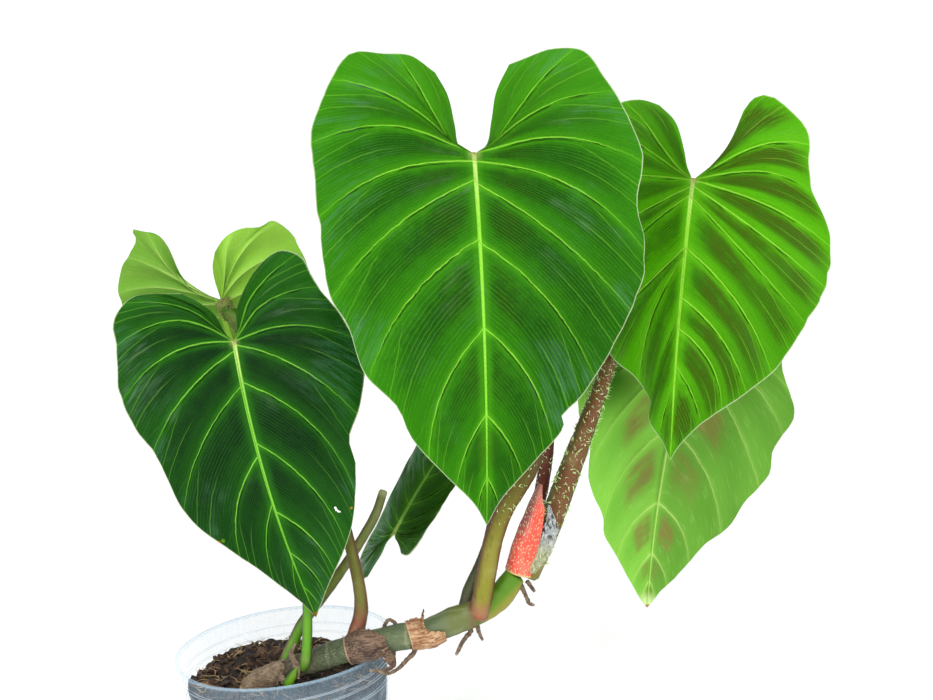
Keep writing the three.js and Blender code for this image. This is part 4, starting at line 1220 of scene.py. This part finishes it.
class PLANT_OT_roots(bpy.types.Operator):
    """Short aerial roots that hang from the stem"""
    bl_idname = "plant.roots"
    bl_label = "Aerial roots"

    def execute(self, context):
        finish = root_finish(context.scene.plant_colours)
        for name, root in ROOTS.items():
            bm = bmesh.new()
            add_limb(bm, *root, sides=10, steps=40, roughness=0.35, grain=0.9)
            finish_piece(name + "_root", bm, finish, [name])
        return {"FINISHED"}


# Pot

RIDGE_DEPTHS = (0.009, 0.014, 0.021)
RIDGE_WIDTH = 0.0012
RIDGE_HEIGHT = 0.0006
RIM_LIP = 0.0016
FOOT_CHAMFER = 0.0015
DRAIN_CIRCLE = 0.028
DRAIN_RADIUS = 0.004
DRAIN_COUNT = 6


def wall_radius(sizes, z):
    """Outer radius of the pot's wall at a height."""
    share = z / sizes.pot_height
    return sizes.base_radius + (sizes.rim_radius - RIM_LIP - sizes.base_radius) * share


def turned(profile, steps=128):
    """A closed profile of (radius, height) points turned about the pot's axis."""
    bm = bmesh.new()
    verts = [bm.verts.new((radius, 0, z)) for radius, z in profile]
    edges = [bm.edges.new(pair) for pair in zip(verts, verts[1:])]
    bmesh.ops.spin(
        bm, geom=verts + edges, cent=(0, 0, 0), axis=(0, 0, 1), angle=FULL_TURN, steps=steps, use_merge=True)
    bmesh.ops.remove_doubles(bm, verts=bm.verts[:], dist=WELD / 2)
    bmesh.ops.recalc_face_normals(bm, faces=bm.faces[:])
    return bm


def pot_profile(sizes):
    """The pot's section from the middle of its underside, up the wall, over the rim and down inside."""
    height, wall = sizes.pot_height, sizes.pot_wall
    outside = [(0, 0), (sizes.base_radius - FOOT_CHAMFER, 0), (sizes.base_radius, 0.0012)]
    outside += [(wall_radius(sizes, step * 0.009), step * 0.009) for step in range(1, 9)]
    for depth in reversed(RIDGE_DEPTHS):
        z = height - depth
        radius = wall_radius(sizes, z)
        outside += [(radius, z - RIDGE_WIDTH), (radius + RIDGE_HEIGHT, z - 0.0008)]
        outside += [(radius + RIDGE_HEIGHT, z - 0.0004), (radius, z)]
    rim = sizes.rim_radius
    lip = [(rim - 0.001, height - 0.0032), (rim, height - 0.0024), (rim, height - 0.0008),
           (rim - 0.0004, height), (rim - RIM_LIP, height), (rim - RIM_LIP - wall, height - 0.0006)]
    inside = [(wall_radius(sizes, z) - wall, z) for z in (0.060, 0.003)]
    return outside + lip + inside + [(wall_radius(sizes, 0) - wall - 0.002, wall), (0, wall)]


def pot_finish(sizes, colours):
    f = Finish("pot_plastic")
    height = sizes.pot_height
    z = f.axis("Z")
    haze = f.cloud(45, 3)
    scuff = f.cloud(900, 3, stretch=(1, 1, 0.08))
    rings = 0.0
    for depth in RIDGE_DEPTHS:
        rings = rings + abs(z - (height - depth - RIDGE_WIDTH / 2)).fall(0.0001, 0.0004)
    color = f.coats(colours.pot, (haze * 0.5, "#a5c4dc"), (rings * 0.55, "#ffffff"))
    touch = f.cloud(110, 5).rise(0.35, 0.65) * z.fall(height - 0.022, height - 0.017)
    lip = z.rise(height - 0.0015, height - 0.0005)
    dense = haze * 0.08 + touch * 0.08 + scuff * 0.12 + rings * 0.24 + lip * 0.2 + 0.09
    return f.done(Base_Color=color, Roughness=scuff * 0.2 + 0.28, Alpha=dense.rise(0.0, 1.0),
                  Normal=f.bump(haze + scuff * 0.4, 0.0003))


class PLANT_OT_pot(bpy.types.Operator):
    """The frosted clear pot with its rings and drain holes"""
    bl_idname = "plant.pot"
    bl_label = "Pot"

    def execute(self, context):
        sizes, colours = context.scene.plant_sizes, context.scene.plant_colours
        shell = turned(pot_profile(sizes))
        pot = finish_piece("pot_shell", shell, pot_finish(sizes, colours), ["pot"])
        holes = bmesh.new()
        for i in range(DRAIN_COUNT):
            turn = FULL_TURN * i / DRAIN_COUNT
            place = (DRAIN_CIRCLE * math.cos(turn), DRAIN_CIRCLE * math.sin(turn), 0)
            bmesh.ops.create_cone(holes, cap_ends=True, segments=24, radius1=DRAIN_RADIUS,
                                  radius2=DRAIN_RADIUS, depth=0.01, matrix=Matrix.Translation(place))
        cutter = mesh_object("drain_cutter", holes)
        cut = pot.modifiers.new("drains", "BOOLEAN")
        cut.operation = "DIFFERENCE"
        cut.object = cutter
        bare = bpy.data.meshes.new_from_object(pot.evaluated_get(context.evaluated_depsgraph_get()))
        pot.modifiers.clear()
        pot.data = bare
        bpy.data.objects.remove(cutter)
        return {"FINISHED"}


# Potting mix

MIX_SEED = 47
MIX_GAP = 0.0003
CHIP_KINDS = 6
CHIP_SIZES = (0.0016, 0.0052)
CHIP_THINNESS = (0.28, 0.5)
CHIP_BREADTH = (0.22, 0.9)
FIBRE_REACH = 50
FIBRE_LIMIT = 52
FIBRE_LENGTHS = (4, 9)


def mix_height(x, y):
    """Height of the mix above its level, in millimetres, as on the solid."""
    return 1.8 * math.sin(x / 11 + 0.6) * math.cos(y / 13) - 0.03 * x + 0.03 * y


def mix_radius(sizes, z):
    """Radius of the mix where it lies against the pot's wall."""
    return wall_radius(sizes, z) - sizes.pot_wall - 2 * MIX_GAP


def mix_finish(colours):
    f = Finish("mix_crumb")
    crumb = f.cloud(420, 5)
    bits = f.dots(240, 0.2, 0.4)
    color = f.coats(
        colours.mix,
        (crumb.rise(0.4, 0.65), "#35251a"),
        (bits * crumb.rise(0.4, 0.6) * 0.8, "#6b5038"))
    return f.done(Base_Color=color, Roughness=0.9, Normal=f.bump(crumb + bits * 0.5, 0.002))


def chip_finish(colours):
    f = Finish("bark_chip")
    streak = f.cloud(320, 4, stretch=(1, 0.3, 1))
    tint = f.cloud(70, 1)
    color = f.coats(
        colours.bark, (tint.rise(0.35, 0.65), "#4a3322"), (streak.rise(0.5, 0.7) * 0.6, "#74532f"))
    return f.done(Base_Color=color, Roughness=0.78, Normal=f.bump(streak, 0.0012))


def fibre_finish(colours):
    f = Finish("mix_fibre")
    color = f.blend(f.cloud(60, 1).rise(0.4, 0.6), colours.fibre, "#4c3a26")
    return f.done(Base_Color=color, Roughness=0.8)


def chip_templates(rng):
    """A few broken bark chips, 1 across, for the mix to repeat."""
    chips = []
    for _ in range(CHIP_KINDS):
        bm = bmesh.new()
        bmesh.ops.create_cube(bm, size=1)
        bmesh.ops.bevel(bm, geom=bm.edges[:], offset=0.16, offset_type="OFFSET", affect="EDGES",
                        segments=1, profile=0.5, material=-1)
        for vert in bm.verts:
            vert.co += Vector([rng.uniform(-0.11, 0.11) for _ in range(3)])
        chips.append(bm)
    return chips


def add_chips(rng, sizes, colours):
    """Bark chips, by turns lying on the mix and showing along the pot's wall."""
    chips = chip_templates(rng)
    level = sizes.soil_level
    bm = bmesh.new()
    for i in range(sizes.chips):
        turn = rng.uniform(0, FULL_TURN)
        size = rng.uniform(*CHIP_SIZES)
        thin = rng.uniform(*CHIP_THINNESS)
        if i % 2:
            reach = (mix_radius(sizes, level) - size * 0.6) * math.sqrt(rng.random())
            x, y = reach * math.cos(turn), reach * math.sin(turn)
            z = level + mix_height(x / MM, y / MM) * MM + size * thin * 0.2
            tilt = Matrix.Rotation(rng.uniform(-1, 1), 4, "X") @ Matrix.Rotation(rng.uniform(-1, 1), 4, "Y")
            lay = Matrix.Rotation(rng.uniform(0, FULL_TURN), 4, "Z") @ tilt
        else:
            z = rng.uniform(0.006, level - 0.003)
            reach = mix_radius(sizes, z) - size * thin * 0.75
            x, y = reach * math.cos(turn), reach * math.sin(turn)
            lay = Matrix.Rotation(turn, 4, "Z") @ Matrix.Rotation(math.pi / 2, 4, "Y")
            lay = lay @ Matrix.Rotation(rng.uniform(0, FULL_TURN), 4, "Z")
        shred = rng.uniform(*CHIP_BREADTH)
        scale = Matrix.Diagonal((size * (1.5 - shred * 0.5), size * shred, size * thin, 1))
        add_copy(bm, chips[i % CHIP_KINDS], Matrix.Translation((x, y, z)) @ lay @ scale)
    for chip in chips:
        chip.free()
    finish_piece("mix_chips", bm, chip_finish(colours), [])


def add_fibres(rng, sizes, colours):
    """Fine dry fibres that lie on the mix and stand up a little from it."""
    bm = bmesh.new()
    for _ in range(sizes.fibres):
        turn, reach = rng.uniform(0, FULL_TURN), FIBRE_REACH * math.sqrt(rng.random())
        x, y = reach * math.cos(turn), reach * math.sin(turn)
        way, run = rng.uniform(0, FULL_TURN), rng.uniform(*FIBRE_LENGTHS)
        route = []
        for t in (0, 0.35, 0.7, 1):
            px = x + run * t * math.cos(way) + rng.uniform(-1, 1)
            py = y + run * t * math.sin(way) + rng.uniform(-1, 1)
            hold = min(1, FIBRE_LIMIT / max(math.hypot(px, py), 1))
            px, py = px * hold, py * hold
            route.append((px, py, sizes.soil_level / MM + mix_height(px, py) + 0.8 + 3.4 * t * rng.random()))
        add_limb(bm, route, [0.22, 0.2, 0.08], sides=4, steps=6)
    finish_piece("mix_fibres", bm, fibre_finish(colours), [])


class PLANT_OT_mix(bpy.types.Operator):
    """The potting mix: its crumbly body, bark chips and dry fibres"""
    bl_idname = "plant.mix"
    bl_label = "Potting mix"

    def execute(self, context):
        sizes, colours = context.scene.plant_sizes, context.scene.plant_colours
        level, floor = sizes.soil_level, sizes.pot_wall + MIX_GAP
        heights = [floor + share * (level - floor) for share in np.linspace(0, 1, 34)]
        side = [(mix_radius(sizes, z), z) for z in heights]
        top = [(mix_radius(sizes, level) * (1 - share), level) for share in np.linspace(0, 1, 26)[1:]]
        bm = turned([(0, floor), (mix_radius(sizes, floor) * 0.5, floor), *side, *top], 160)
        for vert in bm.verts:
            x, y, z = vert.co / MM
            radius = math.hypot(x, y)
            if z > level / MM - 0.01:
                lump = 2.4 * noise.fractal(Vector((x, y, 3)) * 0.16, 0.9, 2, 4)
                vert.co.z += (mix_height(x, y) + min(lump, 2.2) - 0.8) * MM
            elif z > 3 and radius > 20:
                dent = 1.6 * abs(noise.fractal(vert.co / MM * 0.13, 0.9, 2, 4))
                vert.co.xy *= 1 - min(dent, 2.4) / radius
        finish_piece("mix_body", bm, mix_finish(colours), ["potting_mix"])
        rng = random.Random(MIX_SEED)
        add_chips(rng, sizes, colours)
        add_fibres(rng, sizes, colours)
        return {"FINISHED"}


# Stage

CAMERA_PLACE = (0.1163, -0.9332, 0.4588)
CAMERA_PITCH = math.radians(12.2)
CAMERA_ROLL = math.radians(6.3)
CAMERA_LENS = 70
CAMERA_SENSOR = 36
FLOOR_REACH = 20
FLOOR_RISE = 4.0
AIR_STRENGTH = 0.66
LIGHTS_AIM = (0.1, 0, 0.24)
# Each light's kind, place and strength, with a sun's softness or the side of a lamp's panel
LIGHTS = {
    "sky_light": ("SUN", (0.3, -0.2, 2.0), 0.9, 1.2),
    "key_light": ("SUN", (0.35, -1.8, 1.5), 1.1, 0.2),
    "left_light": ("AREA", (-0.9, -0.9, 0.75), 7, 0.6),
    "right_light": ("AREA", (1.2, -1.0, 0.7), 6, 0.6),
}


def add_light(name, kind, place, strength, spread):
    light = bpy.data.lights.new(name, kind)
    light.energy = strength
    if kind == "SUN":
        light.angle = spread
    else:
        light.shape = "SQUARE"
        light.size = spread
    lamp = bpy.data.objects.new(name, light)
    lamp.location = place
    lamp.rotation_euler = (Vector(LIGHTS_AIM) - Vector(place)).to_track_quat("-Z", "Y").to_euler()
    bpy.context.scene.collection.objects.link(lamp)


class PLANT_OT_stage(bpy.types.Operator):
    """Pale floor, soft lights and the camera"""
    bl_idname = "plant.stage"
    bl_label = "Stage"

    def execute(self, context):
        scene = context.scene
        scene.view_settings.view_transform = "Standard"
        bm = bmesh.new()
        bmesh.ops.create_grid(bm, x_segments=4, y_segments=4, size=FLOOR_REACH)
        for vert in bm.verts:
            if vert.is_boundary:
                vert.co.z = FLOOR_RISE
        floor = mesh_object("studio_floor", bm)
        paper = Finish("studio_paper").done(Base_Color=scene.plant_colours.floor, Roughness=0.95)
        floor.data.materials.append(paper)
        world = bpy.data.worlds.new("studio_air")
        world.use_nodes = True
        air = world.node_tree.nodes["Background"]
        air.inputs["Color"].default_value = (1, 1, 1, 1)
        air.inputs["Strength"].default_value = AIR_STRENGTH
        scene.world = world
        for name, light in LIGHTS.items():
            add_light(name, *light)
        camera = bpy.data.cameras.new("photo_camera")
        camera.lens = CAMERA_LENS
        camera.sensor_width = CAMERA_SENSOR
        camera.clip_start = 0.05
        camera.clip_end = 2 * FLOOR_REACH
        eye = bpy.data.objects.new("photo_camera", camera)
        scene.collection.objects.link(eye)
        level = Matrix.Rotation(math.pi / 2 - CAMERA_PITCH, 4, "X")
        eye.matrix_world = Matrix.Translation(CAMERA_PLACE) @ level @ Matrix.Rotation(-CAMERA_ROLL, 4, "Z")
        scene.camera = eye
        return {"FINISHED"}


class PLANT_PT_build(bpy.types.Panel):
    """Lists the plant's pieces, sizes and colours"""
    bl_idname = "PLANT_PT_build"
    bl_label = "Potted philodendron"
    bl_space_type = "VIEW_3D"
    bl_region_type = "UI"
    bl_category = "Plant"

    def draw(self, context):
        for operator in OPERATORS:
            self.layout.operator(operator.bl_idname)
        for group in (context.scene.plant_sizes, context.scene.plant_colours):
            box = self.layout.box()
            for name in group.__annotations__:
                box.prop(group, name)


OPERATORS = (
    PLANT_OT_stage, PLANT_OT_leaves, PLANT_OT_stem, PLANT_OT_stalks, PLANT_OT_sheaths, PLANT_OT_roots,
    PLANT_OT_pot, PLANT_OT_mix,
)
CLASSES = (PlantSizes, PlantColours, *OPERATORS, PLANT_PT_build)


def register():
    for cls in CLASSES:
        bpy.utils.register_class(cls)
    bpy.types.Scene.plant_sizes = bpy.props.PointerProperty(type=PlantSizes)
    bpy.types.Scene.plant_colours = bpy.props.PointerProperty(type=PlantColours)


def unregister():
    del bpy.types.Scene.plant_colours
    del bpy.types.Scene.plant_sizes
    for cls in reversed(CLASSES):
        bpy.utils.unregister_class(cls)


def main():
    """Builds every piece."""
    register()
    for operator in OPERATORS:
        group, name = operator.bl_idname.split(".")
        getattr(getattr(bpy.ops, group), name)()


if __name__ == "__main__":
    main()
